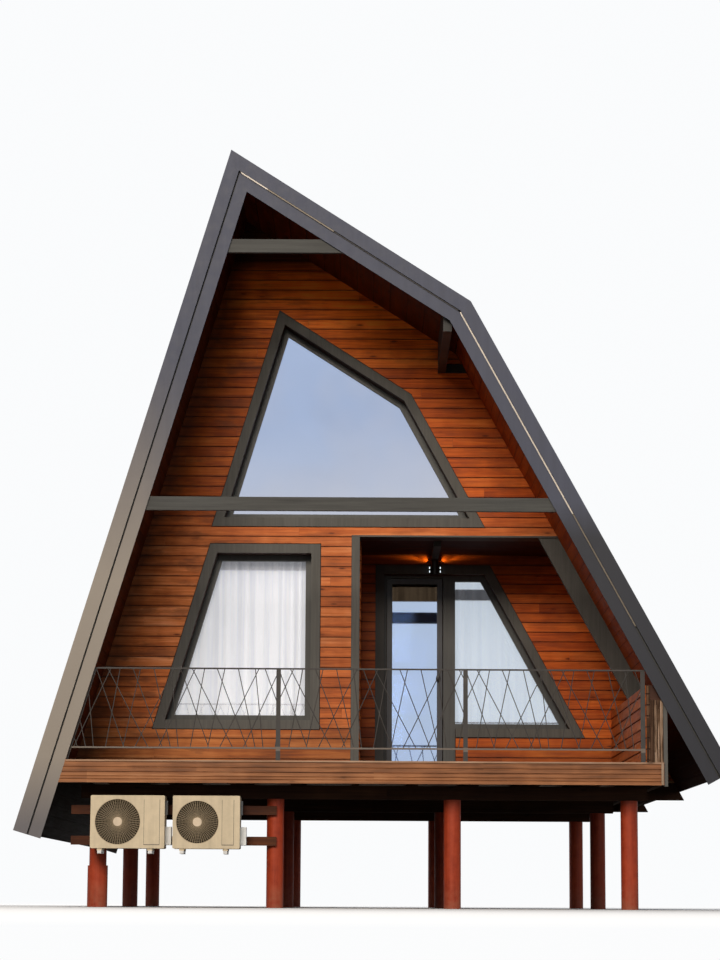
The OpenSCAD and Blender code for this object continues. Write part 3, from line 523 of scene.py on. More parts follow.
# A light batten in the fascia's gap, its colour painted light and shade: cream where lit, dull where less lit, grey
# in shade
gap_strip_painted_light = sheet_metal("gap_strip_painted_light", (0.72, 0.66, 0.58), 0.6, spec=0.2)
gap_strip_painted_dim = sheet_metal("gap_strip_painted_dim", (0.26, 0.225, 0.180), 0.6, spec=0.2)
gap_line_painted_shade = sheet_metal("gap_line_painted_shade", (0.050, 0.047, 0.047), 0.6, spec=0.2)
fan_dark = sheet_metal("fan_dark", (0.017, 0.014, 0.009), 0.6, spec=0.15)
steel = sheet_metal("bracket_steel", (0.50, 0.50, 0.49), 0.42, 0.6)
black_paint = sheet_metal("black_paint", (0.010, 0.010, 0.011), 0.35)
valve_paint = sheet_metal("valve_cover", (0.66, 0.68, 0.68), 0.45)


def pipe():
    """Brown-red plastic pipe, dusty and muddy near the ground."""
    g = Graph("pier_pipe")
    dust = g.noise(g.co, 7.0, 6.0, 0.7)
    streak = g.noise(g.scaled(26.0, 26.0, 1.2), 1.0, 5.0, 0.65)
    color = g.ramp(g.blend(dust, streak, 0.55), [(0.30, (0.18, 0.018, 0.005)), (0.48, (0.32, 0.040, 0.012)),
                                                 (0.62, (0.40, 0.058, 0.020)), (0.80, (0.48, 0.10, 0.045))])
    mud = g.mul(g.step(g.z, 0.0, 0.30, 0.55, 0.0), g.step(dust, 0.35, 0.65))
    color = g.mix(mud, color, (0.20, 0.13, 0.08))
    return g.finish(color, g.step(dust, 0.3, 0.7, 0.42, 0.66), g.bump(dust, 0.25, 0.002), Specular_IOR_Level=0.22)


pipe_plastic = pipe()


def glass(name, tint, face, lean, low=None, low_tint=None, band=None):
    """Double glazing whose colour is a painted reflection: mostly the pale sky with painted clouds in it, and a
    dimmer look at what stands behind.
    face is the sky's share, and low its shares below the loft, at the front and in the recess, with
    low_tint the colours of the painted reflection there; lean tips a pane back at its head; band is where a painted
    brown reflection starts."""
    g = Graph(name)
    # Painted reflection: the pale sky, with faint haze
    haze = g.noise(g.scaled(0.45, 0.0, 0.9), 1.0, 3.0, 0.5, 0.5)
    color = g.ramp(haze, [(0.30, times(tint, 0.92)), (0.70, tuple(min(1.0, c * 1.06) for c in tint))])
    upper = g.step(g.z, SPLIT, SPLIT + 0.05)
    if low:
        # Painted reflection of clouds and of a hazier sky low in the upper panes
        cloud = g.plus(g.noise(g.scaled(1.0, 0.0, 1.0), 0.55, 3.0, 0.45),
                       g.step(g.z, SPLIT, SPLIT + 2.4, 0.14, -0.16))
        color = g.mix(g.step(cloud, 0.40, 0.66), color, (0.56, 0.58, 0.68))
        color = g.mix(g.step(g.z, SPLIT + 0.1, SPLIT + 1.4, 0.75, 0.0), color, (0.62, 0.655, 0.76))
        # Painted reflection below the loft, white low down to pale blue, with its own colour in the recess
        low_color = g.ramp(g.step(g.z, DECK + 1.9, SPLIT), [(0.0, low_tint[0]), (1.0, low_tint[1])])
        low_color = g.mix(g.step(g.y, *RECESS_Y), low_color, low_tint[2])
        color = g.mix(upper, low_color, color)
    if band:
        # Painted reflection of a brown band
        streak = g.noise(g.scaled(30.0, 0.0, 1.0), 1.0, 2.0)
        brown = g.ramp(streak, [(0.3, (0.030, 0.020, 0.012)), (0.7, (0.065, 0.045, 0.028))])
        color = g.mix(g.step(g.z, band, band + 0.012), color, brown)
    normal = g.bump(g.noise(g.co, 0.8, 2.0), 0.04, 0.004)
    rise = g.most(g.minus(g.z, SPLIT), 0.0) if low else g.z
    # The painted colours tint a mirror that reflects the white world
    g.finish(color, 0.02, g.bump(g.mul(rise, -lean), 1.0, 1.0, normal), Metallic=1.0)
    clear = g.add("ShaderNodeBsdfTransparent")
    clear.inputs[0].default_value = (0.975, 0.985, 1.0, 1)
    facing = g.add("ShaderNodeLayerWeight")
    facing.inputs[0].default_value = 0.35
    amount = face
    if low:
        amount = g.math("MULTIPLY_ADD", upper, face - low[0], g.step(g.y, *RECESS_Y, *low))
    mix = g.add("ShaderNodeMixShader")
    g.put(mix.inputs[0], g.most(amount, facing.outputs["Facing"]))
    g.put(mix.inputs[1], clear.outputs[0])
    g.put(mix.inputs[2], g.b.outputs[0])
    g.put(g.out.inputs[0], mix.outputs[0])
    return g.m


sky_glass = glass("window_glass", (0.43, 0.525, 0.735), 0.88, -0.030, (0.15, 0.40),
                  ((1.0, 1.0, 1.0), (0.82, 0.86, 1.0), (0.82, 0.91, 1.0)))
door_pane = glass("door_glass", (0.50, 0.61, 0.81), 0.86, 0.037, band=DECK + 2.078)


def cloth():
    """White sheer cloth with painted light, a faint glow for the daylight that falls through it, and painted shade in
    its folds.
    """
    g = Graph("curtain_cloth")
    weave = g.noise(g.scaled(900.0, 900.0, 900.0), 1.0, 2.0, 0.5)
    slub = g.noise(g.scaled(60.0, 60.0, 4.0), 1.0, 4.0, 0.6)
    color = g.ramp(g.blend(weave, slub, 0.3), [(0.3, (0.93, 0.93, 0.95)), (0.7, (0.98, 0.98, 0.99))])
    # Painted shade of folds: darker upright stripes
    painted_fold_shade = g.noise(g.scaled(15.0, 0.0, 0.25), 1.0, 3.0, 0.6)
    color = g.mix(g.step(painted_fold_shade, 0.40, 0.62), color, (0.80, 0.81, 0.84), "MULTIPLY")
    # Painted light: a glow, fainter in the recess
    g.put(g.b.inputs["Emission Color"], color)
    g.put(g.b.inputs["Emission Strength"], g.step(g.y, *RECESS_Y, 0.21, 0.13))
    return g.finish(color, 0.9, g.bump(slub, 0.2, 0.001), Sheen_Weight=0.25)


curtain_cloth = cloth()


def lamp_glow():
    g = Graph("lamp_lens")
    warm = g.noise(g.co, 40.0)
    g.put(g.b.inputs["Emission Color"], g.ramp(warm, [(0.2, (0.70, 0.86, 0.90)), (0.8, (0.90, 0.97, 1.0))]))
    g.b.inputs["Emission Strength"].default_value = 1.6
    return g.finish((0.9, 0.8, 0.6), 0.4)


lens_glow = lamp_glow()

MATERIALS = {
    "piers": pipe_plastic, "bearers": bearer_wood, "floor_rims": bearer_wood,
    "floor_joists": joist_wood, "deck_boards": deck_wood, "deck_front_board": front_wood,
    "cabin_floor": floor_wood, "loft_floor": loft_wood, "roof_panel_left": soffit_left_shaded_wood,
    "roof_panel_upper": soffit_wood, "roof_panel_lower": soffit_low_lit_wood,
    "roof_sheet_left": roof_metal, "roof_sheet_upper": roof_metal, "roof_sheet_lower": roof_metal,
    "fascia_front": fascia_metal, "fascia_back": fascia_metal, "front_rafters": beam_z,
    "cross_beams": beam_x, "knee_purlin": purlin_shaded_paint, "front_wall_lower": wall_back_painted_shade,
    "front_wall_upper": wall_back_painted_shade, "corner_post": trim_z, "recess_side_wall": wall_back_painted_shade,
    "entrance_wall_left": wall_back_painted_shade, "entrance_wall_right": wall_back_painted_shade, "recess_rafter": trim_z,
    "recess_ceiling_beam": purlin_shaded_paint, "parapet": wall_back_painted_shade, "parapet_end_post": trim_z,
    "back_wall": wall_back_painted_shade, "window_trims": trim_z, "window_frames": frame_paint,
    "window_glass": sky_glass, "curtains": curtain_cloth, "entrance_trim": entrance_paint,
    "entrance_frame": entrance_frame_paint, "door_leaf": sash_paint, "door_glass": door_pane,
    "door_handle": black_paint, "wall_lamp": black_paint, "railing": rail_metal,
    "air_units": casing_paint, "fan_guards": guard_wire, "air_unit_rails": unit_wood,
    "air_unit_brackets": steel,
}
for name, obj in nodes.items():
    obj.data.materials.clear()
    obj.data.materials.append(MATERIALS[name])


# Mesh helpers; points are given from the ridge line and the roof's front edge
def place(x, y, z):
    return Vector((x - MID_X, y - MID_Y, z))


def turns(n):
    return [2 * math.pi * k / n for k in range(n)]


def on_circle(x, y, z, radius, a):
    """A point on an upright circle that faces the front."""
    return place(x + radius * math.cos(a), y, z + radius * math.sin(a))


def skin(bm, loops, ring=False):
    """A closed solid over equal loops of points, capped at its ends or joined into a ring."""
    rows = [[bm.verts.new(p) for p in loop] for loop in loops]
    n = len(rows[0])
    for a, b in zip(rows, rows[1:] + rows[:1] if ring else rows[1:]):
        for k in range(n):
            bm.faces.new((a[k], a[(k + 1) % n], b[(k + 1) % n], b[k]))
    if not ring:
        bm.faces.new(rows[0])
        bm.faces.new(rows[-1][::-1])


def grid(bm, rows):
    """An open sheet over equal rows of points; returns its vertices."""
    rows = [[bm.verts.new(p) for p in row] for row in rows]
    for a, b in zip(rows, rows[1:]):
        for k in range(len(a) - 1):
            bm.faces.new((a[k], a[k + 1], b[k + 1], b[k]))
    return rows


def rect(x0, x1, z0, z1):
    return [(x0, z0), (x0, z1), (x1, z1), (x1, z0)]


def prism(bm, outline, y0, y1):
    """A closed prism over an outline in XZ."""
    skin(bm, [[place(x, y, z) for x, z in outline] for y in (y0, y1)])


def disc(bm, x, z, y0, y1, radius, edge=0.0, sides=40):
    """A round plate that faces the front, with a softened edge."""
    skin(bm, [[on_circle(x, y, z, r, a) for a in turns(sides)]
              for y, r in ((y1, radius), (y0 + edge, radius), (y0, radius - edge))])


def tube(bm, points, radius, sides, ring=False):
    """A thin tube through points given as vectors."""
    n = len(points)
    loops = []
    for i, p in enumerate(points):
        a = points[i - 1] if ring or i else p
        b = points[(i + 1) % n] if ring or i < n - 1 else p
        t = (b - a).normalized()
        u = t.cross(Vector((0, 1, 0)))
        u = u.normalized() if u.length > 1e-6 else Vector((1, 0, 0))
        v = t.cross(u)
        loops.append([p + radius * (math.cos(k) * u + math.sin(k) * v) for k in turns(sides)])
    skin(bm, loops, ring)


def to_mesh(bm, name):
    bmesh.ops.recalc_face_normals(bm, faces=bm.faces)
    mesh = bpy.data.meshes.new(name)
    bm.to_mesh(mesh)
    bm.free()
    return mesh


def new_object(name, bm, mat, body="cabin", smooth=False):
    """A piece of the visual model made from a bmesh."""
    obj = bpy.data.objects.new(name, to_mesh(bm, name))
    scene.collection.objects.link(obj)
    obj.data.materials.append(mat)
    if smooth:
        for poly in obj.data.polygons:
            poly.use_smooth = True
    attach(obj, body)
    return obj


def plain(name, mat, slot, *boxes):
    """Plain boxes, each given as x0, x1, y0, y1, z0, z1."""
    bm = bmesh.new()
    for x0, x1, y0, y1, z0, z1 in boxes:
        prism(bm, rect(x0, x1, z0, z1), y0, y1)
    return new_object(name, bm, mat)


# Polygons in XZ
def clip(poly, a, b, keep_left):
    """The part of a polygon on one side of the line through a and b."""
    def side(p):
        s = (b[0] - a[0]) * (p[1] - a[1]) - (b[1] - a[1]) * (p[0] - a[0])
        return s if keep_left else -s
    out = []
    for p, q in zip(poly, poly[1:] + poly[:1]):
        sp, sq = side(p), side(q)
        if sp >= 0:
            out.append(p)
        if (sp > 0 > sq) or (sp < 0 < sq):
            t = sp / (sp - sq)
            out.append((p[0] + t * (q[0] - p[0]), p[1] + t * (q[1] - p[1])))
    return out


def inside(poly, outline):
    """A convex polygon clipped to a convex outline that runs clockwise."""
    for a, b in zip(outline, outline[1:] + outline[:1]):
        poly = clip(poly, a, b, False)
    return poly


def outside(poly, hole):
    """The convex pieces of a polygon that lie outside a convex, clockwise hole."""
    pieces = []
    for a, b in zip(hole, hole[1:] + hole[:1]):
        part = clip(poly, a, b, True)
        if len(part) > 2:
            pieces.append(part)
        poly = clip(poly, a, b, False)
        if len(poly) < 3:
            break
    return pieces


def area(poly):
    return abs(sum(p[0] * q[1] - q[0] * p[1] for p, q in zip(poly, poly[1:] + poly[:1]))) / 2


def left_strip(d, z0, z1, x):
    """From the left slope, moved inwards by d, to an upright line at x."""
    return [(left_at(d, z0), z0), (left_at(d, z1), z1), (x, z1), (x, z0)]


# Shiplap boards: lean of the face, half of the gaps between rows and at butt ends, and what is too small
LIP = 0.007
GAP = 0.0036
BUTT = 0.0007
SPECK = 2e-5


def board_rows(z_lo, z_hi):
    """The number, foot and head of each row of boards between two heights."""
    k = math.floor((z_lo - BOARD_Z0) / BOARD)
    while BOARD_Z0 + k * BOARD < z_hi:
        yield k, BOARD_Z0 + k * BOARD + GAP, BOARD_Z0 + (k + 1) * BOARD - GAP
        k += 1


def board(bm, poly, z0, z1, y_face, sign):
    """A board over a polygon; its face leans out a little towards its lower edge."""
    poly = [(x, min(max(z, z0), z1)) for x, z in poly]
    skin(bm, [[place(x, y_face + sign * (BOARD_T - LIP * (z - z0) / (z1 - z0)), z) for x, z in poly],
              [place(x, y_face, z) for x, z in poly]])


def wall_boards(name, outline, holes, y_face, sign=-1):
    """Boards over a wall's convex outline, cut round convex holes; sign is the way that they face."""
    bm = bmesh.new()
    x_lo, x_hi = min(x for x, z in outline) - 0.1, max(x for x, z in outline) + 0.1
    for k, z0, z1 in board_rows(min(z for x, z in outline), max(z for x, z in outline)):
        shift = (k * GOLDEN) % 1.0 * BOARD_L
        seg = math.floor((x_lo - MID_X + shift) / BOARD_L)
        while (a := seg * BOARD_L - shift + MID_X) <= x_hi:
            parts = [inside(rect(a + BUTT, a + BOARD_L - BUTT, z0, z1), outline)]
            for hole in holes:
                parts = [q for p in parts if len(p) > 2 for q in outside(p, hole)]
            for p in parts:
                if len(p) > 2 and area(p) > SPECK:
                    board(bm, p, z0, z1, y_face, sign)
            seg += 1
    return new_object(name, bm, wall_wood)


def side_boards(name, x, sign, y0, y1, z_lo, z_hi, ends=0.0):
    """Boards along the depth on a face that looks left or right, with board ends showing at the front."""
    bm = bmesh.new()
    tips = bmesh.new()
    for k, z0, z1 in board_rows(z_lo, z_hi):
        z0, z1 = max(z0, z_lo), min(z1, z_hi)
        if z1 - z0 > 0.01:
            prism(bm, [(x, z0), (x, z1), (x + sign * (BOARD_T - LIP), z1), (x + sign * BOARD_T, z0)], y0, y1)
            prism(tips, rect(x + 0.001, x + ends, z0 + 0.004, z1 - 0.004), y0 - 0.016, y0)
    if ends:
        new_object(name + "_ends", tips, tip_wood)
    return new_object(name, bm, side_wood)


# Painted shadow: a dark line round the trims, where the dark ground shows; casing of the back windows, and edges that
# the boards run up to
SHADOW = 0.008
CASING = 0.075
HEAD_BAND = 0.020
EAVE_IN = SOFFIT_IN + 0.002
POST_X = RECESS_X - POST_W
WINDOW_Z0, WINDOW_Z1, WINDOW_X1 = DECK + 0.468, DECK + 2.520, RECESS_X - WINDOW_INSET
UPPER_SILL = DECK + 2.717
LEAF_R = DOOR_L + TRIM_W + JAMB_W + LEAF_GAP + LEAF_W + LOCK_GAP
MULLION_X = LEAF_R + MULLION_W
SILL = DECK + 0.488
LOFT_SILL = SPLIT + LOFT_T + LOFT_SILL_H
BACK_H, BACK_W = 1.2, 1.1
BACK_X = (left_at(SOFFIT_IN, LOFT_SILL + BACK_H) + right_at(SOFFIT_IN, LOFT_SILL + BACK_H)) / 2
BACK_SILLS = (DECK + 0.9, LOFT_SILL)
BACK_FACE = BACK_Y + WALL_T

board_x, board_z = POST_X - 0.002, SPLIT - 0.001
shadow_in, shadow_z = MARGIN - SHADOW, SILL - SHADOW
wall_boards("boards_upper", gable(EAVE_IN, SPLIT + HEAD_BAND), [gable(shadow_in, UPPER_SILL - SHADOW)], WALL_Y)
wall_boards("boards_upper_strip", left_strip(EAVE_IN, SPLIT, SPLIT + HEAD_BAND, board_x), [], WALL_Y)
wall_boards("boards_lower", [(left_at(EAVE_IN, DECK), DECK), (left_at(EAVE_IN, SPLIT), SPLIT), (board_x, SPLIT),
                             (board_x, DECK + 0.001)],
            [left_strip(LOWER_MARGIN - SHADOW, WINDOW_Z0 - SHADOW, WINDOW_Z1 + SHADOW, WINDOW_X1 + SHADOW)], WALL_Y)
wall_boards("boards_entrance_left", rect(RECESS_X + 0.001, DOOR_L - 0.001, DECK, board_z), [], ENTRANCE_Y)
wall_boards("boards_entrance_right", [(DOOR_L, DECK), (DOOR_L, board_z), (right_at(EAVE_IN, SPLIT), board_z),
                                      (right_at(EAVE_IN, DECK), DECK)],
            [rect(DOOR_L, MULLION_X, DECK - 0.2, HEAD),
             [(MULLION_X, shadow_z), (MULLION_X, HEAD), (right_at(shadow_in, HEAD), HEAD),
              (right_at(shadow_in, shadow_z), shadow_z)]], ENTRANCE_Y)
x0, x1 = BACK_X - BACK_W / 2, BACK_X + BACK_W / 2
wall_boards("boards_back", gable(EAVE_IN, DECK),
            [rect(x0 - CASING, x1 + CASING, z - CASING, z + BACK_H + CASING) for z in BACK_SILLS], BACK_FACE, 1)
plain("back_window_casing", trim_z, "grey_trim", *(
    (a, b, BACK_FACE, BACK_FACE + 0.022, z + c, z + d) for z in BACK_SILLS
    for a, b, c, d in ((x0 - CASING, x0, -CASING, BACK_H + CASING), (x1, x1 + CASING, -CASING, BACK_H + CASING),
                       (x0, x1, -CASING, 0.0), (x0, x1, BACK_H, BACK_H + CASING))))

side_z, side_y = DECK + 0.002, 0.062
side_boards("boards_parapet_inside", PARAPET_X - PARAPET_T, -1, side_y, ENTRANCE_Y - 0.030, side_z,
            DECK + PARAPET_H, 0.036)
side_boards("boards_parapet_outside", PARAPET_X, 1, side_y, ENTRANCE_Y - 0.002, side_z, DECK + PARAPET_H - 0.02)
side_boards("boards_recess_side", RECESS_X, 1, WALL_Y + WALL_T + 0.002, ENTRANCE_Y - 0.030, side_z, SPLIT - 0.002)

# Strips at the head of the recess, the end of the parapet and the edge of the deck
plain("recess_head_strip", trim_x, "grey_trim", (POST_X, right_at(SOFFIT_IN, SPLIT) - 0.004, WALL_Y - 0.020,
                                                WALL_Y - 0.001, SPLIT + 0.001, SPLIT + HEAD_BAND - 0.001))
# Painted shade: a dark strip in the gap between the boards' ends and the end board
plain("parapet_end_gap_shade", tip_wood, "wall_boards",
      (PARAPET_X - 0.129, PARAPET_X - 0.102, 0.020, 0.0295, side_z, DECK + 0.640))


def ragged_board(name, x0, x1, y0, y1, z0, z1, columns=14, splits=(4, 9)):
    """A split, weathered board: a broken top edge and cracks that open as small steps in its face."""
    bm = bmesh.new()
    edges = [x0 + (x1 - x0) * k / columns for k in range(columns + 1)]
    for k in range(columns):
        top = z1 - 0.035 * random.random() ** 2 - (0.05 if k in splits else 0.0)
        depth = y0 + 0.006 * random.random() + (0.005 if k in splits else 0.0)
        lean = 0.004 * (random.random() - 0.5)
        prism(bm, [(edges[k], z0), (edges[k] + lean, top - 0.008), (edges[k + 1] + lean - 0.001, top),
                   (edges[k + 1] - 0.001, z0)], depth, y1)
    return new_object(name, bm, end_wood)


ragged_board("parapet_end_board", PARAPET_X - 0.100, PARAPET_X - 0.002, 0.010, 0.0295, side_z, DECK + 0.645)
plain("deck_end_strip", strip_wood, "deck_timber",
      (PARAPET_X - 0.030, PARAPET_X - 0.006, -0.0385, -0.0302, DECK - 0.222, DECK + 0.003))


def on_slope(i, t, d):
    """A point on slope i at share t of its length, moved inwards by d."""
    return tuple(a + t * (b - a) for a, b in zip(corner(i, d), corner(i + 1, d)))


# Strips in the gap of the right-hand fascia, coloured with painted light and shade: slope, shares of its length,
# distances inwards, front face
FASCIA_STRIPS = (
    ("fascia_gap_line", gap_line_painted_shade, [(1, 0.431, 0.994, 0.1430, 0.1560, -0.0330)]),
    ("fascia_gap_strip_dull", gap_strip_painted_dim, [(1, 0.130, 0.430, 0.1430, 0.1560, -0.0440),
                                           (2, 0.441, 0.680, 0.1440, 0.1540, -0.0290)]),
    ("fascia_gap_strip", gap_strip_painted_light, [(1, 0.008, 0.129, 0.1430, 0.1560, -0.0440),
                                       (2, 0.002, 0.440, 0.1430, 0.1565, -0.0290)]),
)
for name, mat, strips in FASCIA_STRIPS:
    bm = bmesh.new()
    for i, t0, t1, d0, d1, y0 in strips:
        prism(bm, [on_slope(i, t0, d0), on_slope(i, t1, d0), on_slope(i, t1, d1), on_slope(i, t0, d1)], y0, -0.0020)
    new_object(name, bm, mat)

plain("deck_edge_strip", edge_wood, "deck_timber",
      (left_at(FASCIA_IN, DECK) + 0.004, PARAPET_X - 0.032, -0.0375, -0.0300, DECK - 0.011, DECK + 0.0045))


# Curtains: white sheer cloth in soft upright folds
def fold(x, seed):
    a = math.sin(x * 57.0 + 2.1 * math.sin(x * 9.0 + seed) + seed)
    b = math.sin(x * 131.0 + 1.4 * math.sin(x * 17.0 + 2 * seed))
    c = math.sin(x * 23.0 + 3 * seed)
    return 0.0135 * a + 0.0055 * b + 0.0060 * c


def curtain(name, left, right, z0, z1, y, seed, rows=22, columns=260):
    """A curtain between two edges given as functions of the height."""
    points = []
    for r in range(rows + 1):
        z = z0 + (z1 - z0) * r / rows
        sway = 1.0 - 0.25 * r / rows
        xs = [left(z) + (right(z) - left(z)) * c / columns for c in range(columns + 1)]
        points.append([place(x, y + sway * fold(x, seed), z) for x in xs])
    bm = bmesh.new()
    lines = grid(bm, points)
    cut = sum(f.calc_area() for f in bm.faces)
    arcs = [sum((b.co - a.co).length for a, b in zip(line, line[1:])) for line in lines]
    obj = new_object(name, bm, curtain_cloth, smooth=True)
    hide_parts("curtains")


LAP = TRIM_W + FRAME_W - CURTAIN_LAP
HANG = WALL_T + 0.030
curtain("curtain_left", lambda z: left_at(LOWER_MARGIN + LAP, z) + 0.002, lambda z: WINDOW_X1 - LAP - 0.002,
        WINDOW_Z0 + LAP, WINDOW_Z1 - LAP, WALL_Y + HANG, 0.4)
curtain("curtain_sidelight", lambda z: MULLION_X + 0.002, lambda z: right_at(MARGIN + LAP, z) - 0.002,
        SILL + LAP, HEAD - TRIM_W - FRAME_W + CURTAIN_LAP, ENTRANCE_Y + HANG, 1.7)


def door_knob():
    """A round rose with a short thick lever, seen almost from its end."""
    box = [nodes["door_handle"].matrix_world @ Vector(c) for c in nodes["door_handle"].bound_box]
    x = max(c.x for c in box) + MID_X - 0.026
    y = max(c.y for c in box) + MID_Y
    z = (min(c.z for c in box) + max(c.z for c in box)) / 2 + 0.085
    bm = bmesh.new()
    disc(bm, x, z, y - 0.008, y, 0.025, 0.003, 36)
    disc(bm, x, z, y - 0.030, y - 0.006, 0.010, 0.0, 24)
    loops = []
    for t in (-1.0, -0.92, -0.7, -0.35, 0.0, 0.35, 0.7, 0.92, 1.0):
        half = math.sqrt(1 - t * t) if abs(t) < 1 else 0.12
        loops.append([place(x - 0.010 + half * 0.022 * math.cos(a), y - 0.040 + half * 0.012 * math.sin(a),
                            z + 0.040 * t) for a in turns(24)])
    skin(bm, loops)
    knob = new_object("door_knob", bm, black_paint, body="door")
    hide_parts("door_handle")


door_knob()

# Outdoor air units: wire guards, fans, front panels, covers and handles
PIER_TOP = DECK - FLOOR_D - BEARER_D
PIER_X = left_at(SOFFIT_IN, PIER_TOP) + PIER_INSET
UNIT_Y0, UNIT_Y1 = 0.060, 0.360
UNIT_Z0, UNIT_Z1 = DECK - UNIT_TOP - UNIT_H, DECK - UNIT_TOP
UNIT_X = PIER_X - UNIT_LAP
JOINT = 0.0048


def fan_guard(name, cx, cz, radius):
    """Rings and spokes of wire, in a thicker rim."""
    bm = bmesh.new()
    r = 0.060
    while r < radius - 0.006:
        tube(bm, [on_circle(cx, UNIT_Y0 + 0.0035, cz, r, a) for a in turns(64)], 0.0012, 4, True)
        r += 0.0150
    for k in range(54):
        a = 2 * math.pi * (k + 0.5) / 54
        tube(bm, [on_circle(cx, UNIT_Y0 + 0.0015 + 0.004 * (q / radius) ** 2, cz, q, a)
                  for q in (0.044, radius * 0.5, radius - 0.002)], 0.0022, 4)
    tube(bm, [on_circle(cx, UNIT_Y0 + 0.004, cz, radius - 0.003, a) for a in turns(72)], 0.0032, 6, True)
    guard = new_object(name, bm, guard_wire)
    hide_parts("fan_guards")


def fan_blades(name, cx, cz, radius, spans=6, chords=8):
    """Three swept blades."""
    bm = bmesh.new()
    for start in turns(3):
        rows = []
        for i in range(spans + 1):
            q = 0.045 + (radius - 0.062) * i / spans
            sweep = 0.35 * (i / spans) ** 1.5
            across = [j / chords - 0.5 for j in range(chords + 1)]
            rows.append([on_circle(cx, UNIT_Y0 + 0.058 - 0.040 * c, cz, q, start + sweep + 1.45 * c) for c in across])
        grid(bm, rows)
    new_object(name, bm, fan_dark, smooth=True)


def air_unit(side, x0, w, radius, panel_a, panel_b):
    """The fine parts of one unit; panel_a and panel_b are the edges of its cover, from its left side."""
    cx, cz = x0 + w * FAN_PLACE, (UNIT_Z0 + UNIT_Z1) / 2
    fan_guard("fan_guard_" + side, cx, cz, radius)
    hub = bmesh.new()
    disc(hub, cx, cz, UNIT_Y0 - 0.0035, UNIT_Y0 + 0.004, 0.046, 0.003)
    disc(hub, cx, cz, UNIT_Y0 - 0.0050, UNIT_Y0 - 0.003, 0.022, 0.001, 28)
    new_object("fan_hub_" + side, hub, hub_paint)
    fan_blades("fan_blades_" + side, cx, cz, radius)
    well = bmesh.new()
    disc(well, cx, cz, UNIT_Y0 + 0.122, UNIT_Y0 + 0.128, radius - 0.001, 0.0, 48)
    for a in turns(48):
        corners = [(y, b) for y, b in ((0.006, a), (0.006, a + math.pi / 24), (0.122, a + math.pi / 24), (0.122, a))]
        well.faces.new([well.verts.new(on_circle(cx, UNIT_Y0 + y, cz, radius - 0.0012, b)) for y, b in corners])
    new_object("fan_well_" + side, well, fan_dark)
    xa, xb, z0, z1 = x0 + panel_a, x0 + panel_b, UNIT_Z0 + 0.036, UNIT_Z1 - 0.042
    plain("panel_joint_" + side, casing_dark, "unit_casing",
          (xb, xb + JOINT, UNIT_Y0 - 0.0006, UNIT_Y0 + 0.0010, z0, z1),
          (xa, xb + JOINT, UNIT_Y0 - 0.0006, UNIT_Y0 + 0.0010, z0 - 0.003, z0 + JOINT),
          (xa, xa + 0.0036, UNIT_Y0 - 0.0004, UNIT_Y0 + 0.0010, z0, z1))
    end = x0 + w
    plain("valve_cover_" + side, valve_paint, "unit_casing",
          (end + 0.0005, end + 0.0608, UNIT_Y1 - 0.1908, UNIT_Y1 - 0.0592, UNIT_Z0 + 0.0392, UNIT_Z0 + 0.2208))
    plain("unit_handle_" + side, handle_grey, "unit_casing",
          (end, end + 0.022, UNIT_Y1 - 0.190, UNIT_Y1 - 0.090, UNIT_Z1 - 0.190, UNIT_Z1 - 0.050))


air_unit("left", UNIT_X, UNIT_LEFT_W, 0.230, 0.540, 0.698)
air_unit("right", UNIT_X + UNIT_LEFT_W + UNIT_GAP, UNIT_RIGHT_W, 0.216, 0.498, 0.616)

# Wall lamp: two lenses on each side, and the fans of light they throw on the ceiling
LAMP_X = LEAF_R - LAMP_INSET
LAMP_Y = ENTRANCE_Y - TRIM_T - CEILING_BEAM_D
LAMP_Z = HEAD - LAMP_DROP
lenses, rims = bmesh.new(), bmesh.new()
for sign in (-1, 1):
    for dz in (0.030, 0.074):
        for bm, r, a, b in ((rims, 0.0150, 0.034, 0.058), (lenses, 0.0115, 0.050, 0.066)):
            tube(bm, [place(LAMP_X + sign * x, LAMP_Y - 0.010, LAMP_Z + dz) for x in (a, b)], r, 14)
new_object("lamp_lenses", lenses, lens_glow)
new_object("lamp_rims", rims, black_paint)


def light(name, kind, where, way, power, color, **values):
    """A light that shines along a given way."""
    data = bpy.data.lights.new(name, kind)
    data.energy = power
    data.color = color
    for k, v in values.items():
        setattr(data, k, v)
    obj = bpy.data.objects.new(name, data)
    scene.collection.objects.link(obj)
    obj.location = where
    obj.rotation_euler = way.to_track_quat("-Z", "Y").to_euler()


def lamp_beam(name, sign, aim, power, spread):
    light(name, "SPOT", place(LAMP_X + sign * 0.060, LAMP_Y + 0.040, LAMP_Z + 0.150),
          Vector((sign * aim[0], aim[1], aim[2])), power, (1.0, 0.66, 0.15),
          spot_size=math.radians(spread), spot_blend=0.9, shadow_soft_size=0.008)


def area_light(name, where, target, size, power, color):
    light(name, "AREA", where, Vector(target) - Vector(where), power, color,
          shape="RECTANGLE", size=size[0], size_y=size[1])


for sign in (-1, 1):
    lamp_beam("lamp_beam_up", sign, (1.0, 0.20, 0.60), 2.4, 84)
    lamp_beam("lamp_beam_far", sign, (1.0, 0.05, 0.26), 18.0, 24)

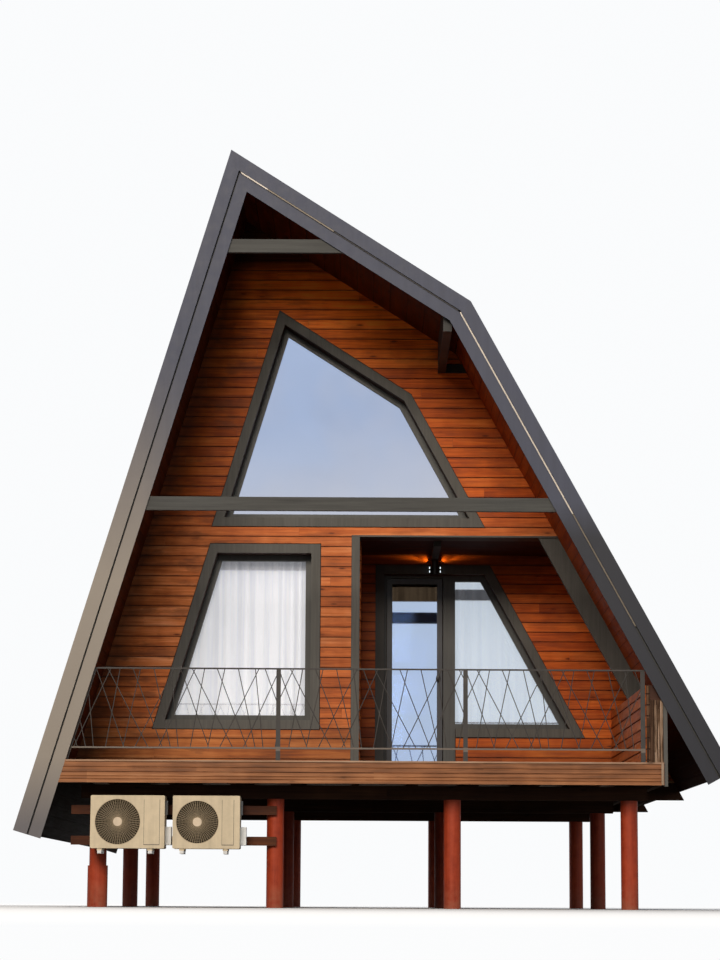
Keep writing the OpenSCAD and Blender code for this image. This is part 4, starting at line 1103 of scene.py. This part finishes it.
# Light: a pale world that shows white, a large warm key from the left, a cool fill and a light behind
world = bpy.data.worlds.new("studio")
scene.world = world
world.use_nodes = True
w = Nodes(world.node_tree)
ray = w.add("ShaderNodeLightPath").outputs
shown = w.add("ShaderNodeMixShader")
w.put(shown.inputs[0], w.most(w.most(ray["Is Camera Ray"], ray["Is Glossy Ray"]), ray["Is Transmission Ray"]))
for i, color, strength in ((1, (0.80, 0.88, 1.0, 1), 0.34), (2, (0.96, 0.97, 0.98, 1), 1.0)):
    back = w.add("ShaderNodeBackground")
    back.inputs[0].default_value = color
    back.inputs[1].default_value = strength
    w.put(shown.inputs[i], back.outputs[0])
w.put(w.add("ShaderNodeOutputWorld").inputs[0], shown.outputs[0])
area_light("key", (-7, -40, 20), (0, -2, 3.5), (17, 12), 14500, (1.0, 0.88, 0.75))
area_light("fill", (20, -24, 6), (0, -2, 3.5), (14, 10), 700, (0.86, 0.92, 1.0))
area_light("back", (-10, 26, 14), (0, 2, 4), (12, 10), 5200, (1.0, 0.95, 0.9))

# Floor: pale to the eye near the cabin and white far out, darker for the light that it throws back
FLOOR_HALF = 400
FADE_NEAR, FADE_FAR = 9.0, 26.0
floor_mesh = bmesh.new()
bmesh.ops.create_grid(floor_mesh, x_segments=1, y_segments=1, size=FLOOR_HALF)
floor = bpy.data.objects.new("floor", to_mesh(floor_mesh, "floor"))
scene.collection.objects.link(floor)
g = Graph("floor_pale")
pale = g.ramp(g.noise(g.co, 0.6, 3.0), [(0.3, (0.80, 0.81, 0.81)), (0.7, (0.84, 0.84, 0.84))])
seen = g.add("ShaderNodeLightPath").outputs["Is Camera Ray"]
far = g.math("SQRT", g.plus(g.mul(g.x, g.x), g.mul(g.y, g.y)))
haze = g.mul(g.step(far, FADE_NEAR, FADE_FAR), seen)
g.put(g.b.inputs["Emission Color"], (0.97, 0.975, 0.98, 1))
g.put(g.b.inputs["Emission Strength"], haze)
lit = g.mix(seen, (0.20, 0.19, 0.17), pale)
floor.data.materials.append(g.finish(g.mix(haze, lit, (0.0, 0.0, 0.0)), 0.9, Specular_IOR_Level=0.0))
floor.location.z = -0.001

# Camera: the photograph's, low in front of the cabin and looking up
SENSOR, FOCAL_PX, PHOTO_H = 36.0, 2733.6, 960.0
YAW, PITCH, ROLL = -0.0035, 0.1537, 0.0056
EYE = Vector((-0.0591, -27.72 - ROOF_LEN / 2 - 0.050, DECK - 1.4204))
cam_data = bpy.data.cameras.new("camera")
cam = bpy.data.objects.new("camera", cam_data)
scene.collection.objects.link(cam)
cam_data.sensor_fit = "VERTICAL"
cam_data.sensor_height = SENSOR
cam_data.lens = FOCAL_PX * SENSOR / PHOTO_H
cam_data.clip_end = 1000
ahead = Vector((math.sin(YAW) * math.cos(PITCH), math.cos(YAW) * math.cos(PITCH), math.sin(PITCH)))
right = Vector((math.cos(YAW), -math.sin(YAW), 0))
up = right.cross(ahead)
axes = (right * math.cos(ROLL) + up * math.sin(ROLL), up * math.cos(ROLL) - right * math.sin(ROLL), -ahead)
cam.matrix_world = Matrix.Translation(EYE) @ Matrix(axes).transposed().to_4x4()
scene.camera = cam
scene.view_settings.view_transform = "Standard"
